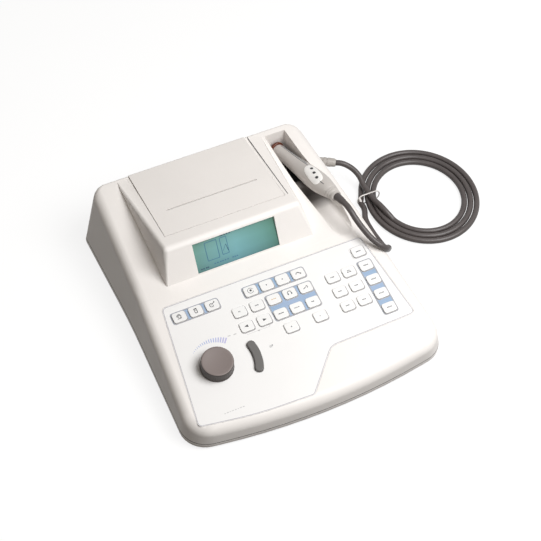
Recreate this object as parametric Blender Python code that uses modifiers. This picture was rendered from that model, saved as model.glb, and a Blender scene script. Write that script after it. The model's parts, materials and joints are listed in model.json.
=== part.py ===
"""Desktop tympanometer with a thermal printer, a key panel and a hand-held probe in its cradle.

Metres, +Z up, +X to the right and +Y to the rear. The origin is the middle of the case, on the table.
"""

import math

import bmesh
import bpy
from mathutils import Matrix, Vector

MM = 0.001

# Clearances and walls
gap = 0.3 * MM
overrun = 20 * MM
shell_wall = 3.0 * MM

# Case: outline at its rim and outline where the walls would meet the panel
foot_height = 3.0 * MM
case_depth = 336.0 * MM
half_depth = case_depth / 2
rim_rear_half = 150.0 * MM
rim_waist_half = 147.3 * MM
rim_front_half = 153.5 * MM
rim_front_corner_setback = 15.5 * MM
rim_bow_reach = 9.9 * MM
top_rear_left = 133.0 * MM
top_waist_left = 138.0 * MM
top_front_half = 149.5 * MM
top_waist_right = 132.5 * MM
top_rear_right = 119.0 * MM
top_rear_setback = 2.0 * MM
top_front_setback = 0.5 * MM
left_waist_y = 25.0 * MM
right_waist_y = 50.0 * MM
rear_corner_radius = 8.0 * MM
top_rear_corner_radius = 14.0 * MM
front_corner_radius = 30.0 * MM
waist_radius = 1200.0 * MM
front_bow_radius = 725.0 * MM
edge_roll = 10.0 * MM
rear_edge_roll = 3.0 * MM

# Panel plane
panel_slope = math.radians(9.37)
panel_front_height = 28.0 * MM
panel_middle_height = panel_front_height + half_depth * math.tan(panel_slope)

# Base pan
pan_thickness = 3.0 * MM
pan_lip_height = 6.0 * MM
pan_lip_wall = 2.0 * MM
pan_lip_gap = 0.6 * MM
pan_inset = 0.6 * MM
boss_inset = 8.0 * MM
foot_edge = 1.0 * MM
foot_radius = 9.0 * MM
foot_inset = 26.0 * MM
boss_radius = 4.0 * MM

# Printer and display housing
housing_left = -104.5 * MM
housing_right = 74.0 * MM
housing_rear_inset = 1.0 * MM
housing_rear_height = 83.6 * MM
housing_slope = math.radians(6.1)
crease_setback = 132.0 * MM
crease_y = half_depth - crease_setback
face_foot_setback = 154.0 * MM
face_foot_y = half_depth - face_foot_setback
housing_left_draft = math.tan(math.radians(11.0))
housing_right_draft = math.tan(math.radians(15.0))
housing_edge = 5.0 * MM
housing_rear_edge = 2.5 * MM
ledge_pad = 5.6 * MM
housing_root = 12.0 * MM

# Display
window_left = -66.0 * MM
window_right = 31.5 * MM
window_height = 35.5 * MM
window_foot_gap = 4.0 * MM
lens_thickness = 1.5 * MM
lens_margin = 2.0 * MM
module_thickness = 9.0 * MM
module_margin = 7.0 * MM

# Printer lid
lid_left = -88.5 * MM
lid_right = 54.5 * MM
lid_front_setback = 114.0 * MM
lid_front_y = half_depth - lid_front_setback
lid_thickness = 2.5 * MM
lid_ledge = 3.0 * MM
seam = 0.45 * MM
lid_pin_radius = 1.5 * MM
lid_hinge_radius = 2.6 * MM
lid_hinge_drop = 8.0 * MM
lid_pin_length = 3.0 * MM
lid_overhang = 0.2 * MM
lid_corner = 2.4 * MM
ear = 4.5 * MM
ear_half = 4.2 * MM
slot_width = 109.0 * MM
slot_gap = 1.8 * MM
slot_setback = 76.0 * MM
slot_y = half_depth - slot_setback

# Printer works
bay_wall = 2.0 * MM
bay_floor_height = 28.0 * MM
bay_side_gap = 4.5 * MM
bay_rear_setback = 14.0 * MM
bay_rear_y = half_depth - bay_rear_setback
paper_radius = 21.0 * MM
paper_core_radius = 6.0 * MM
paper_width = 109.0 * MM
paper_setback = 46.0 * MM
paper_y = half_depth - paper_setback
platen_radius = 6.0 * MM
platen_width = 112.0 * MM
journal_radius = 2.5 * MM
journal_clearance = 0.4 * MM
platen_setback = 82.0 * MM
platen_y = half_depth - platen_setback
platen_drop = 14.6 * MM
gear_radius = 8.5 * MM
gear_width = 4.0 * MM
gear_teeth = 20
tooth_depth = 1.4 * MM
head_thickness = 4.0 * MM
head_height = 14.0 * MM

# Probe cradle: places along the case and the trough's edges and floor there
cradle_setbacks = (10.5 * MM, 50.0 * MM, 78.0 * MM, 100.0 * MM, 128.0 * MM, 160.0 * MM, 184.0 * MM)
cradle_stations = tuple(half_depth - setback for setback in cradle_setbacks)
cradle_left = (77.5 * MM, 80.0 * MM, 82.5 * MM, 86.0 * MM, 91.0 * MM, 95.0 * MM, 97.0 * MM)
cradle_right = (103.0 * MM, 107.5 * MM, 113.0 * MM, 117.5 * MM, 119.5 * MM, 119.0 * MM, 117.0 * MM)
cradle_floor = (46.0 * MM, 46.5 * MM, 47.5 * MM, 49.0 * MM, 51.5 * MM, 55.0 * MM, 59.0 * MM)
cradle_corner = 7.0 * MM
cradle_wall = 2.6 * MM
saddle_setback = 84.0 * MM
saddle_y = half_depth - saddle_setback
saddle_thickness = 9.0 * MM

# Probe: its axis, from the nose at the rear to the strain relief
probe_nose_setback = 22.0 * MM
probe_nose = (91.0 * MM, half_depth - probe_nose_setback, 62.0 * MM)
probe_tail_setback = 131.0 * MM
probe_tail = (110.5 * MM, half_depth - probe_tail_setback, 84.0 * MM)
probe_shares = (0.0, 0.05, 0.16, 0.30, 0.48, 0.64, 0.78, 0.90, 1.0)
probe_half_widths = tuple(w * MM for w in (4.0, 5.0, 6.5, 9.0, 11.5, 12.3, 11.5, 8.8, 6.2))
probe_half_heights = tuple(h * MM for h in (4.0, 5.0, 6.0, 7.6, 9.6, 11.0, 10.0, 7.4, 5.6))
nozzle_radius = 2.6 * MM
nozzle_length = 11.0 * MM
nozzle_bore = 1.0 * MM
cuff_radius = 9.5 * MM
cuff_length = 9.0 * MM
cuff_wall = 2.2 * MM
relief_length = 12.0 * MM
relief_radius = 4.6 * MM
cord_radius = 3.25 * MM

# Keys
key_width = 15.0 * MM
key_depth = 12.0 * MM
key_rise = 1.6 * MM
key_corner = 2.6 * MM
key_edge = 0.8 * MM
key_flange = 0.9 * MM
key_flange_thickness = 1.0 * MM
key_clearance = 0.35 * MM
key_travel = 0.8 * MM
row_pitch = 19.0 * MM
key_pitch = 19.0 * MM
first_row_setback = 190.5 * MM
first_row = half_depth - first_row_setback
mode_left = -106.0 * MM
test_left = -22.5 * MM
page_left = 0.0
page_right = 34.5 * MM
store_column = 108.5 * MM
select_columns = (67.5 * MM, 87.5 * MM)
step_columns = (-44.0 * MM, -23.5 * MM)
key_groups = {
    "mode": [(mode_left + key_pitch * number, 0) for number in range(3)],
    "test": [(test_left + key_pitch * number, 0) for number in range(4)],
    "set": [(test_left + key_pitch * number, row) for row in (1, 2) for number in (1, 2, 3)],
    "store": [(store_column, row) for row in range(5)],
    "select": [(column, row) for row in (1, 2, 3) for column in select_columns],
    "step": [(column, row) for row in (1, 2) for column in step_columns],
    "page": [(column, 3) for column in (page_left, page_right)],
}
overlay_thickness = 0.5 * MM
overlay_recess = overlay_thickness + gap
board_thickness = 1.6 * MM
board_left = -119.0 * MM
board_right = 121.0 * MM
board_rear_reach = 10.5 * MM
board_front_reach = 98.5 * MM
dome_room = 2.2 * MM
dome_height = 2.0 * MM
dome_radius = 3.5 * MM

# Panel film: its lower edge follows the bowed front, then climbs to the right part
film_top_reach = 17.5 * MM
film_top = first_row + film_top_reach
film_top_half = 119.5 * MM
film_low_left_inset = 20.5 * MM
film_low_left = (-137.5 * MM, -half_depth + film_low_left_inset)
film_low_bow_inset = 10.0 * MM
film_low_bow = (-75.0 * MM, -half_depth + film_low_bow_inset)
film_low_right_inset = 7.5 * MM
film_low_right = (-11.0 * MM, -half_depth + film_low_right_inset)
film_step_inset = 52.0 * MM
film_step = (30.0 * MM, -half_depth + film_step_inset)
film_right_inset = 53.5 * MM
film_right = (132.5 * MM, -half_depth + film_right_inset)
film_corner = 5.0 * MM
film_step_radius = 16.0 * MM
film_bow_radius = 420.0 * MM

# Turning control and present bar
knob_drop = 69.0 * MM
knob_place = (-92.5 * MM, first_row - knob_drop)
knob_radius = 16.8 * MM
knob_skirt_radius = 18.3 * MM
knob_height = 16.5 * MM
knob_lift = 0.8 * MM
knob_flutes = 28
flute_depth = 0.7 * MM
flute_start = 2.5 * MM
knob_dish = 1.2 * MM
knob_edge = 1.5 * MM
encoder_radius = 7.5 * MM
shaft_lift = 1.0 * MM
shaft_radius = 3.0 * MM
shaft_clearance = 0.3 * MM
bush_radius = 4.5 * MM
bar_radius = 44.5 * MM
bar_width = 9.5 * MM
bar_start = math.radians(-25.0)
bar_end = math.radians(12.0)
bar_rise = 3.2 * MM
bar_edge = 1.6 * MM

# Rear power module
module_left = -128.0 * MM
module_right = -87.0 * MM
module_margin_left = 3.0 * MM
module_margin_right = 4.0 * MM
power_bottom = 18.0 * MM
power_top = 46.0 * MM
power_depth = 22.0 * MM
inlet_width = 22.0 * MM
inlet_height = 16.5 * MM
inlet_depth = 15.0 * MM
inlet_corner = 4.5 * MM
blade_width = 2.0 * MM
blade_height = 4.0 * MM
blade_pitch = 7.0 * MM
rocker_width = 10.0 * MM
rocker_height = 19.0 * MM
rocker_depth = 7.0 * MM
rocker_half_swing = math.radians(8.0)
rocker_room_depth = 10.0 * MM
rocker_axis_depth = 4.0 * MM
rocker_rise = 0.3 * MM
rocker_end_gap = 0.4 * MM

# Probe socket and plug in the right side wall
socket_setback = 22.5 * MM
socket_place = (136.0 * MM, half_depth - socket_setback, 26.0 * MM)
socket_turn = math.radians(-32.0)
socket_radius = 5.2 * MM
socket_length = 11.5 * MM
plug_radius = 4.7 * MM
plug_length = 15.5 * MM
plug_tail_length = 7.0 * MM
plug_groove_depth = 0.9 * MM
plug_groove_width = 1.6 * MM
jacket_sleeve = 0.5 * MM
cuff_foot = 0.8 * MM

# Main board and pump
main_left = -62.0 * MM
main_right = 118.0 * MM
main_front = -62.0 * MM
main_rear = 52.0 * MM
main_lift = 8.0 * MM
pump_radius = 15.5 * MM
pump_left = 60.0 * MM
pump_right = 122.0 * MM
pump_setback = 56.0 * MM
pump_y = half_depth - pump_setback
pump_head_length = 20.0 * MM
port_radius = 3.0 * MM
port_length = 7.0 * MM
component_height = 6.0 * MM
component_shares = (
    (0.12, 0.20, 0.16, 0.16),
    (0.40, 0.55, 0.14, 0.22),
    (0.62, 0.22, 0.10, 0.12),
    (0.80, 0.62, 0.12, 0.24),
)

# Cord: the coil's loops on the table, and the two free stretches by hand
coil_centre = (235.0 * MM, 57.0 * MM)
coil_drift = 1.2 * MM
coil_first_radius = 45.9 * MM
coil_pitch = 8.6 * MM
coil_stretch = 1.09
coil_steps = 24
coil_start = 200.0
coil_sweep = 1035.0
coil_rise = math.radians(25.0)
coil_height = 3.4 * MM
coil_lift = 1.0 * MM
tie_angle = 165.0
stretch_step = 2.1
tie_y = 79.0 * MM
tie_width = 3.0 * MM
tie_thickness = 0.8 * MM
tie_low = (162.7 * MM, 0.85 * MM)
tie_high = (191.3 * MM, 15.3 * MM)
tie_corner = 3.2 * MM

socket_side_route = (
    (171.5 * MM, 122.2 * MM, 23.2 * MM),
    (176.5 * MM, 114.5 * MM, 20.0 * MM),
    (179.0 * MM, 105.5 * MM, 16.2 * MM),
    (178.5 * MM, 96.0 * MM, 13.2 * MM),
    (179.0 * MM, 84.0 * MM, 11.6 * MM),
    (180.0 * MM, 79.0 * MM, 11.6 * MM),
    (181.5 * MM, 76.0 * MM, 11.2 * MM),
    (184.5 * MM, 68.0 * MM, 10.8 * MM),
    (186.6 * MM, 60.5 * MM, 11.0 * MM),
)

probe_side_route = (
    (166.5 * MM, 70.0 * MM, 3.6 * MM),
    (160.0 * MM, 53.0 * MM, 3.6 * MM),
    (158.5 * MM, 36.0 * MM, 3.6 * MM),
    (159.0 * MM, 18.0 * MM, 3.6 * MM),
    (158.0 * MM, 4.0 * MM, 8.0 * MM),
    (155.0 * MM, -8.0 * MM, 18.0 * MM),
    (151.5 * MM, -16.0 * MM, 30.0 * MM),
    (146.0 * MM, -24.0 * MM, 43.0 * MM),
    (138.0 * MM, -29.5 * MM, 53.5 * MM),
    (128.5 * MM, -22.0 * MM, 61.5 * MM),
    (122.0 * MM, -10.5 * MM, 69.5 * MM),
    (117.0 * MM, 1.5 * MM, 78.6 * MM),
    (114.7 * MM, 11.5 * MM, 84.4 * MM),
)


def remove_everything():
    for obj in list(bpy.data.objects):
        bpy.data.objects.remove(obj, do_unlink=True)


remove_everything()
parts = bpy.data.collections.new("tympanometer")
cutters = bpy.data.collections.new("cutters")
bpy.context.scene.collection.children.link(parts)
bpy.context.scene.collection.children.link(cutters)


# Helpers


def material(name, colour, roughness, metallic=0.0):
    made = bpy.data.materials.new(name)
    made.use_nodes = True
    shader = made.node_tree.nodes["Principled BSDF"]
    shader.inputs["Base Color"].default_value = (*colour, 1.0)
    shader.inputs["Roughness"].default_value = roughness
    shader.inputs["Metallic"].default_value = metallic
    return made


def add(name, mesh_maker, finish, place=None, collection=None, smooth=35.0):
    """Makes an object from a bmesh, or shares a mesh that is already made."""
    mesh = mesh_maker
    if isinstance(mesh_maker, bmesh.types.BMesh):
        mesh = bpy.data.meshes.new(name)
        bmesh.ops.recalc_face_normals(mesh_maker, faces=mesh_maker.faces)
        mesh_maker.to_mesh(mesh)
        mesh_maker.free()
        mesh.shade_smooth()
        mesh.set_sharp_from_angle(angle=math.radians(smooth))
        if finish:
            mesh.materials.append(finish)
    obj = bpy.data.objects.new(name, mesh)
    (collection or parts).objects.link(obj)
    if place is not None:
        obj.matrix_world = place
    return obj


def cutter(name, made, place=None):
    obj = add(name, made, None, place, cutters)
    obj.hide_render = True
    obj.display_type = "WIRE"
    return obj


def boolean(obj, other, operation):
    step = obj.modifiers.new(other.name, "BOOLEAN")
    step.operation = operation
    step.solver = "EXACT"
    step.object = other


def cut(obj, other):
    boolean(obj, other, "DIFFERENCE")


def fuse(obj, other):
    boolean(obj, other, "UNION")


def join(target, other):
    """Copies one bmesh into another and frees it."""
    mesh = bpy.data.meshes.new("joined")
    other.to_mesh(mesh)
    other.free()
    target.from_mesh(mesh)
    bpy.data.meshes.remove(mesh)


def box(low, high):
    made = bmesh.new()
    bmesh.ops.create_cube(made, size=1.0)
    low = Vector(low)
    high = Vector(high)
    bmesh.ops.scale(made, vec=high - low, verts=made.verts)
    bmesh.ops.translate(made, vec=(low + high) / 2, verts=made.verts)
    return made


def soften(made, width, segments, chosen):
    edges = [edge for edge in made.edges if chosen(edge)]
    bmesh.ops.bevel(
        made, geom=edges, offset=width, segments=segments, profile=0.5, affect="EDGES", material=-1
    )


def upright(edge):
    span = edge.verts[1].co - edge.verts[0].co
    return abs(span.z) > 0.9 * span.length


def cylinder(radius, low, high, sides=32, top_radius=None):
    made = bmesh.new()
    bmesh.ops.create_cone(
        made, cap_ends=True, segments=sides, radius1=radius, radius2=top_radius or radius, depth=high - low
    )
    bmesh.ops.translate(made, vec=(0, 0, (low + high) / 2), verts=made.verts)
    return made


def prism(outline, low, high):
    """A flat outline, raised from low to high."""
    made = bmesh.new()
    face = made.faces.new([made.verts.new((x, y, low)) for x, y in outline])
    raised = bmesh.ops.extrude_face_region(made, geom=[face])["geom"]
    top = [item for item in raised if isinstance(item, bmesh.types.BMVert)]
    bmesh.ops.translate(made, vec=(0, 0, high - low), verts=top)
    return made


def loft(rings):
    """A closed body through rings of equal counts, capped at both ends."""
    made = bmesh.new()
    loops = [[made.verts.new(point) for point in ring] for ring in rings]
    for lower, upper in zip(loops, loops[1:]):
        for here in range(len(lower)):
            after = (here + 1) % len(lower)
            made.faces.new((lower[here], lower[after], upper[after], upper[here]))
    made.faces.new(loops[0])
    made.faces.new(loops[-1])
    return made


def turned(name, profile, finish, place=None, sides=32, collection=None):
    """A turned body from a profile of (radius, height) that runs from its top to its foot."""
    mesh = bpy.data.meshes.new(name)
    points = [(radius, 0.0, height) for radius, height in profile]
    mesh.from_pydata(points, [(i, i + 1) for i in range(len(points) - 1)], [])
    if finish:
        mesh.materials.append(finish)
    obj = bpy.data.objects.new(name, mesh)
    (collection or parts).objects.link(obj)
    if place is not None:
        obj.matrix_world = place
    screw = obj.modifiers.new("turn", "SCREW")
    screw.steps = sides
    screw.render_steps = sides
    screw.use_merge_vertices = True
    screw.merge_threshold = 0.00002
    screw.use_smooth_shade = True
    return obj


def corner_reach(corners, here):
    """How far from its corner an arc starts, were there room for all of it."""
    corner = Vector(corners[here][:2])
    before = Vector(corners[here - 1][:2]) - corner
    after = Vector(corners[(here + 1) % len(corners)][:2]) - corner
    return corners[here][2] / math.tan(before.angle(after) / 2)


def fitted_radius(corners, here):
    """A corner's radius, reduced where its arc would run into a neighbour's."""
    count = len(corners)
    share = 1.0
    for other in (here - 1, (here + 1) % count):
        side = (Vector(corners[other][:2]) - Vector(corners[here][:2])).length
        share = min(share, side / (corner_reach(corners, here) + corner_reach(corners, other)))
    return corners[here][2] * share


def rounded(corners):
    """A closed outline whose corners (x, y, radius, steps) become arcs."""
    outline = []
    count = len(corners)
    for here, (x, y, _, steps) in enumerate(corners):
        corner = Vector((x, y))
        radius = fitted_radius(corners, here)
        before = (Vector(corners[here - 1][:2]) - corner).normalized()
        after = (Vector(corners[(here + 1) % count][:2]) - corner).normalized()
        half = before.angle(after) / 2
        centre = corner + (before + after).normalized() * (radius / math.sin(half))
        start = corner + before * (radius / math.tan(half)) - centre
        finish = corner + after * (radius / math.tan(half)) - centre
        turn = start.angle_signed(finish)
        for step in range(steps + 1):
            angle = -turn * step / steps
            spun = Matrix.Rotation(angle, 2) @ start
            outline.append(centre + spun)
    return outline


def inward(outline):
    """The unit normals that point into an outline that runs anticlockwise."""
    normals = []
    for here, point in enumerate(outline):
        along = (outline[(here + 1) % len(outline)] - outline[here - 1]).normalized()
        normals.append(Vector((-along.y, along.x)))
    return normals


def panel_height(y):
    return panel_middle_height + y * math.tan(panel_slope)


panel = Matrix.Translation((0, 0, panel_middle_height)) @ Matrix.Rotation(panel_slope, 4, "X")


def on_panel(u, v, w=0.0):
    return panel @ Matrix.Translation((u, v, w))


# Finishes

cream = material("cream housing plastic", (0.86, 0.84, 0.80), 0.42)
pan_grey = material("base plastic", (0.74, 0.72, 0.68), 0.5)
panel_white = material("printed panel film", (0.88, 0.88, 0.87), 0.4)
key_white = material("key plastic", (0.88, 0.88, 0.88), 0.38)
knob_brown = material("control plastic", (0.10, 0.085, 0.08), 0.5)
bar_grey = material("bar plastic", (0.14, 0.135, 0.13), 0.5)
lens_teal = material("tinted display window", (0.21, 0.44, 0.44), 0.12)
module_metal = material("display frame steel", (0.5, 0.5, 0.5), 0.4, 1.0)
probe_grey = material("probe plastic", (0.50, 0.47, 0.44), 0.42)
cuff_rubber = material("probe cuff rubber", (0.16, 0.045, 0.025), 0.55)
cord_grey = material("cord jacket", (0.105, 0.09, 0.085), 0.5)
plug_grey = material("plug plastic", (0.43, 0.40, 0.38), 0.45)
tie_white = material("tie plastic", (0.72, 0.70, 0.68), 0.4)
foot_rubber = material("foot rubber", (0.05, 0.05, 0.05), 0.8)
board_green = material("board laminate", (0.04, 0.20, 0.09), 0.5)
metal_zinc = material("zinc plated steel", (0.6, 0.6, 0.6), 0.35, 1.0)
roller_rubber = material("roller rubber", (0.03, 0.03, 0.03), 0.7)
paper_white = material("thermal paper", (0.90, 0.90, 0.88), 0.8)
frame_black = material("printer frame plastic", (0.05, 0.05, 0.05), 0.5)
inlet_black = material("inlet plastic", (0.02, 0.02, 0.02), 0.4)


# Case shell

ARC = 4
waist_steps = 3
front_corner_steps = 8
bow_steps = 10
rim_corners = [
    (rim_rear_half, half_depth, rear_corner_radius, ARC),
    (-rim_rear_half, half_depth, rear_corner_radius, ARC),
    (-rim_waist_half, left_waist_y, waist_radius, waist_steps),
    (-rim_front_half, -half_depth + rim_front_corner_setback, front_corner_radius, front_corner_steps),
    (0.0, -half_depth - rim_bow_reach, front_bow_radius, bow_steps),
    (rim_front_half, -half_depth + rim_front_corner_setback, front_corner_radius, front_corner_steps),
    (rim_waist_half, right_waist_y, waist_radius, waist_steps),
]
top_rear = half_depth - top_rear_setback
top_corner_y = -half_depth + rim_front_corner_setback + top_front_setback
top_corners = [
    (top_rear_right, top_rear, top_rear_corner_radius, ARC),
    (-top_rear_left, top_rear, top_rear_corner_radius, ARC),
    (-top_waist_left, left_waist_y, waist_radius, waist_steps),
    (-top_front_half, top_corner_y, front_corner_radius, front_corner_steps),
    (0.0, -half_depth - rim_bow_reach + top_front_setback, front_bow_radius, bow_steps),
    (top_front_half, top_corner_y, front_corner_radius, front_corner_steps),
    (top_waist_right, right_waist_y, waist_radius, waist_steps),
]


def case_rolls(count):
    """The roll of the top edge: small along the rear, full elsewhere, blended in the rear corners."""
    rolls = []
    for index in range(count):
        if index <= ARC:
            share = 1.0 - index / ARC
        elif index <= 2 * ARC + 1:
            share = (index - ARC - 1) / ARC
        else:
            share = 1.0
        rolls.append(rear_edge_roll + (edge_roll - rear_edge_roll) * share)
    return rolls


def at_height(foot, tip, height):
    return foot + (tip - foot) * ((height - foot.z) / (tip.z - foot.z))


def wall_ring(wall, height):
    """The outline of the case's wall, taken inwards, at one height."""
    rim = rounded(rim_corners)
    top = rounded(top_corners)
    ring = []
    for point, above, into, above_into in zip(rim, top, inward(rim), inward(top)):
        foot = Vector((*(point + into * wall), foot_height))
        tip = above + above_into * wall
        ring.append(at_height(foot, Vector((*tip, panel_height(tip.y))), height))
    return ring


def case_rings(wall, bottom):
    """Rings from the bottom edge, up the wall and over its rolled top edge on to the panel."""
    rim = rounded(rim_corners)
    top = rounded(top_corners)
    rim_in = inward(rim)
    top_in = inward(top)
    rolls = case_rolls(len(top))
    drop = wall / math.cos(panel_slope)
    feet, tips, ins = [], [], []
    for index, point in enumerate(rim):
        foot = point + rim_in[index] * wall
        tip = top[index] + top_in[index] * wall
        feet.append(Vector((foot.x, foot.y, foot_height)))
        tips.append(Vector((tip.x, tip.y, panel_height(tip.y) - drop)))
        normal = top_in[index]
        ins.append(Vector((normal.x, normal.y, normal.y * math.tan(panel_slope))))
    rings = [[at_height(foot, tip, bottom) for foot, tip in zip(feet, tips)]]
    roll_steps = 5
    for step in range(roll_steps + 1):
        angle = math.pi / 2 * step / roll_steps
        ring = []
        for foot, tip, into, roll in zip(feet, tips, ins, rolls):
            radius = max(roll - wall, gap)
            down = (foot - tip).normalized()
            ring.append(tip + down * radius * (1 - math.sin(angle)) + into * radius * (1 - math.cos(angle)))
        rings.append(ring)
    return rings


# Printer and display housing

lid_plane_rear = half_depth - top_rear_setback - housing_rear_inset


def lid_height(y):
    return housing_rear_height + (lid_plane_rear - y) * math.tan(housing_slope)


def housing_body(wall):
    """The hull of the housing: a roof that falls to the rear, a sloping face and drafted sides."""
    roof_drop = wall / math.cos(housing_slope)
    face_rise = lid_height(crease_y) - panel_height(face_foot_y)
    face_angle = math.atan2(face_rise, crease_y - face_foot_y)
    face_shift = wall / math.sin(face_angle)
    rear = lid_plane_rear - wall
    crease = crease_y + face_shift - roof_drop / math.tan(face_angle)
    points = []
    for side, draft, into in ((housing_left, housing_left_draft, 1), (housing_right, housing_right_draft, -1)):
        edge = side + into * wall
        for y in (rear, crease):
            top = lid_height(y) - roof_drop
            points.append((edge + into * draft * (top - panel_height(y)), y, top))
        foot = face_foot_y + face_shift
        points.append((edge, foot, panel_height(foot)))
        points.append((edge, foot, panel_height(foot) - housing_root))
        points.append((edge, rear, panel_height(rear) - housing_root))
    made = bmesh.new()
    for point in points:
        made.verts.new(point)
    bmesh.ops.convex_hull(made, input=made.verts)
    bmesh.ops.dissolve_limit(
        made, angle_limit=math.radians(0.5), verts=made.verts, edges=made.edges
    )
    return made


def at_rear(edge):
    return all(vert.co.y > lid_plane_rear - gap for vert in edge.verts)


def above_panel(edge):
    """Edges of the housing that stand above the panel, not its foot line, root or rear edge."""
    low = [vert.co.z < panel_height(vert.co.y) - gap for vert in edge.verts]
    foot = all(abs(vert.co.z - panel_height(vert.co.y)) < gap for vert in edge.verts)
    return not any(low) and not foot and not at_rear(edge)


def rear_edge(edge):
    """The housing's rear edge, once its sides are rounded."""
    foot = panel_height(lid_plane_rear) - housing_root
    return at_rear(edge) and all(vert.co.z > foot + gap for vert in edge.verts)


top_shell = add("top_shell", loft(case_rings(0.0, foot_height + pan_thickness + gap)), cream)
housing = housing_body(0.0)
soften(housing, housing_edge, 3, above_panel)
soften(housing, housing_rear_edge, 2, rear_edge)
fuse(top_shell, cutter("housing", housing))


# Probe cradle: a trough that runs from the rear wall and fades out on the panel


def trough_rings(wall):
    rings = []
    for index, y in enumerate(cradle_stations):
        left = cradle_left[index] - wall
        right = cradle_right[index] + wall
        floor = cradle_floor[index] - wall
        place = y + (wall if index == 0 else 0.0)
        corner = cradle_corner + wall
        top = housing_rear_height + overrun
        ring = [Vector((right, place, top)), Vector((left, place, top))]
        for side, first in ((left + corner, 180), (right - corner, 270)):
            for step in range(5):
                angle = math.radians(first + 90 * step / 4)
                reach = Vector((math.cos(angle), 0, math.sin(angle))) * corner
                ring.append(Vector((side, place, floor + corner)) + reach)
        rings.append(ring)
    return rings


trough = cutter("cradle_trough", loft(trough_rings(0.0)))
trough_skin = cutter("cradle_skin", loft(trough_rings(cradle_wall)))
cavity = cutter("case_cavity", loft(case_rings(shell_wall, 0.0)))
cut(cavity, trough_skin)
housing_cavity = cutter("housing_cavity", housing_body(shell_wall))
cut(housing_cavity, trough_skin)
cut(top_shell, cavity)
cut(top_shell, housing_cavity)

# The lid's ledge, under the housing's roof

crease_height = lid_height(crease_y)
roof = Matrix.Translation((0, crease_y, crease_height)) @ Matrix.Rotation(-housing_slope, 4, "X")


def on_roof(y):
    return (y - crease_y) / math.cos(housing_slope)


lid_rear_y = half_depth - top_rear_setback + lid_overhang
pin_y = lid_rear_y - lid_hinge_radius
pin_height = lid_height(pin_y) - lid_hinge_drop
ledge_low = (lid_left - lid_ledge, on_roof(lid_front_y - lid_ledge), -ledge_pad)
ledge_high = (lid_right + lid_ledge, on_roof(lid_plane_rear - shell_wall + gap), -shell_wall / 2)
fuse(top_shell, cutter("lid_ledge", box(ledge_low, ledge_high), roof))
for side, edge in (("left", lid_left - seam - ear), ("right", lid_right + seam)):
    low = (edge, pin_y - ear_half, pin_height - ear_half)
    high = (edge + ear, lid_plane_rear - gap, pin_height + ear_half)
    fuse(top_shell, cutter("lid_ear_" + side, box(low, high)))
recess_low = (lid_left - seam, on_roof(lid_front_y), -lid_thickness - gap)
recess_high = (lid_right + seam, on_roof(half_depth + overrun), overrun)
cut(top_shell, cutter("lid_recess", box(recess_low, recess_high), roof))
hatch_low = (lid_left + lid_ledge, on_roof(lid_front_y + lid_ledge), -overrun)
hatch_high = (lid_right - lid_ledge, on_roof(pin_y), overrun)
cut(top_shell, cutter("lid_hatch", box(hatch_low, hatch_high), roof))
notch_low = (lid_left - seam, pin_y - lid_hinge_radius - seam, pin_height - lid_hinge_radius - seam)
notch_high = (lid_right + seam, half_depth + overrun, housing_rear_height + overrun)
cut(top_shell, cutter("lid_notch", box(notch_low, notch_high)))
pin_turn = Matrix.Translation((0, pin_y, pin_height)) @ Matrix.Rotation(math.radians(90), 4, "Y")
pin_hole = cylinder(lid_pin_radius + journal_clearance, lid_left - seam - ear, lid_right + seam + ear, 16)
cut(top_shell, cutter("lid_pin_hole", pin_hole, pin_turn))
cut(top_shell, trough)

# The saddle that carries the probe across its trough

nose = Vector(probe_nose)
tail = Vector(probe_tail)
probe_axis = (tail - nose).normalized()
side_axis = probe_axis.cross(Vector((0, 0, 1))).normalized()
rise_axis = side_axis.cross(probe_axis).normalized()
probe_frame = Matrix((side_axis, rise_axis, -probe_axis)).transposed().to_4x4()
probe_place = Matrix.Translation(nose) @ probe_frame
probe_length = (tail - nose).length
probe_stations = tuple(-share * probe_length for share in probe_shares)
probe_sides = 20


def probe_rings(extra):
    """Oval sections along the probe, flatter underneath than on top."""
    rings = []
    for place, width, height in zip(probe_stations, probe_half_widths, probe_half_heights):
        ring = []
        for step in range(probe_sides):
            angle = 2 * math.pi * step / probe_sides
            across = math.cos(angle)
            up = math.sin(angle)
            ring.append(Vector((across * (width + extra), up * (height + extra), place)))
        rings.append(ring)
    return rings


saddle_top = panel_height(saddle_y) - shell_wall / 2
saddle_low = (cradle_left[2] - cradle_wall / 2, saddle_y - saddle_thickness / 2, cradle_floor[3] - cradle_wall / 2)
saddle_high = (cradle_right[2] + cradle_wall / 2, saddle_y + saddle_thickness / 2, saddle_top)
saddle = cutter("probe_saddle", box(saddle_low, saddle_high))
cut(saddle, cutter("probe_room", loft(probe_rings(gap)), probe_place))
fuse(top_shell, saddle)

# Display window, lens and module

face_rise = crease_height - panel_height(face_foot_y)
face_angle = math.atan2(face_rise, crease_y - face_foot_y)
face = Matrix.Translation((0, face_foot_y, panel_height(face_foot_y))) @ Matrix.Rotation(face_angle, 4, "X")
window_low = (window_left, window_foot_gap, -shell_wall - 2 * gap)
window_high = (window_right, window_foot_gap + window_height, overrun)
cut(top_shell, cutter("display_window", box(window_low, window_high), face))
lens_back = -shell_wall - gap - lens_thickness
lens_low = (window_left - lens_margin, window_foot_gap - lens_margin, lens_back)
lens_high = (window_right + lens_margin, window_foot_gap + window_height + lens_margin, -shell_wall - gap)
add("display_lens", box(lens_low, lens_high), lens_teal, face)
module_low = (window_left - module_margin, window_foot_gap - lens_margin, lens_back - gap - module_thickness)
module_high = (window_right + module_margin, lens_high[1], lens_back - gap)
module = box(module_low, module_high)
soften(module, gap * 2, 1, lambda edge: True)
add("display_module", module, module_metal, face)


# Keys, panel film and key board


def rounded_block(width, depth, low, high, corner, steps=2):
    made = box((-width / 2, -depth / 2, low), (width / 2, depth / 2, high))
    soften(made, corner, steps, upright)
    return made


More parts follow.
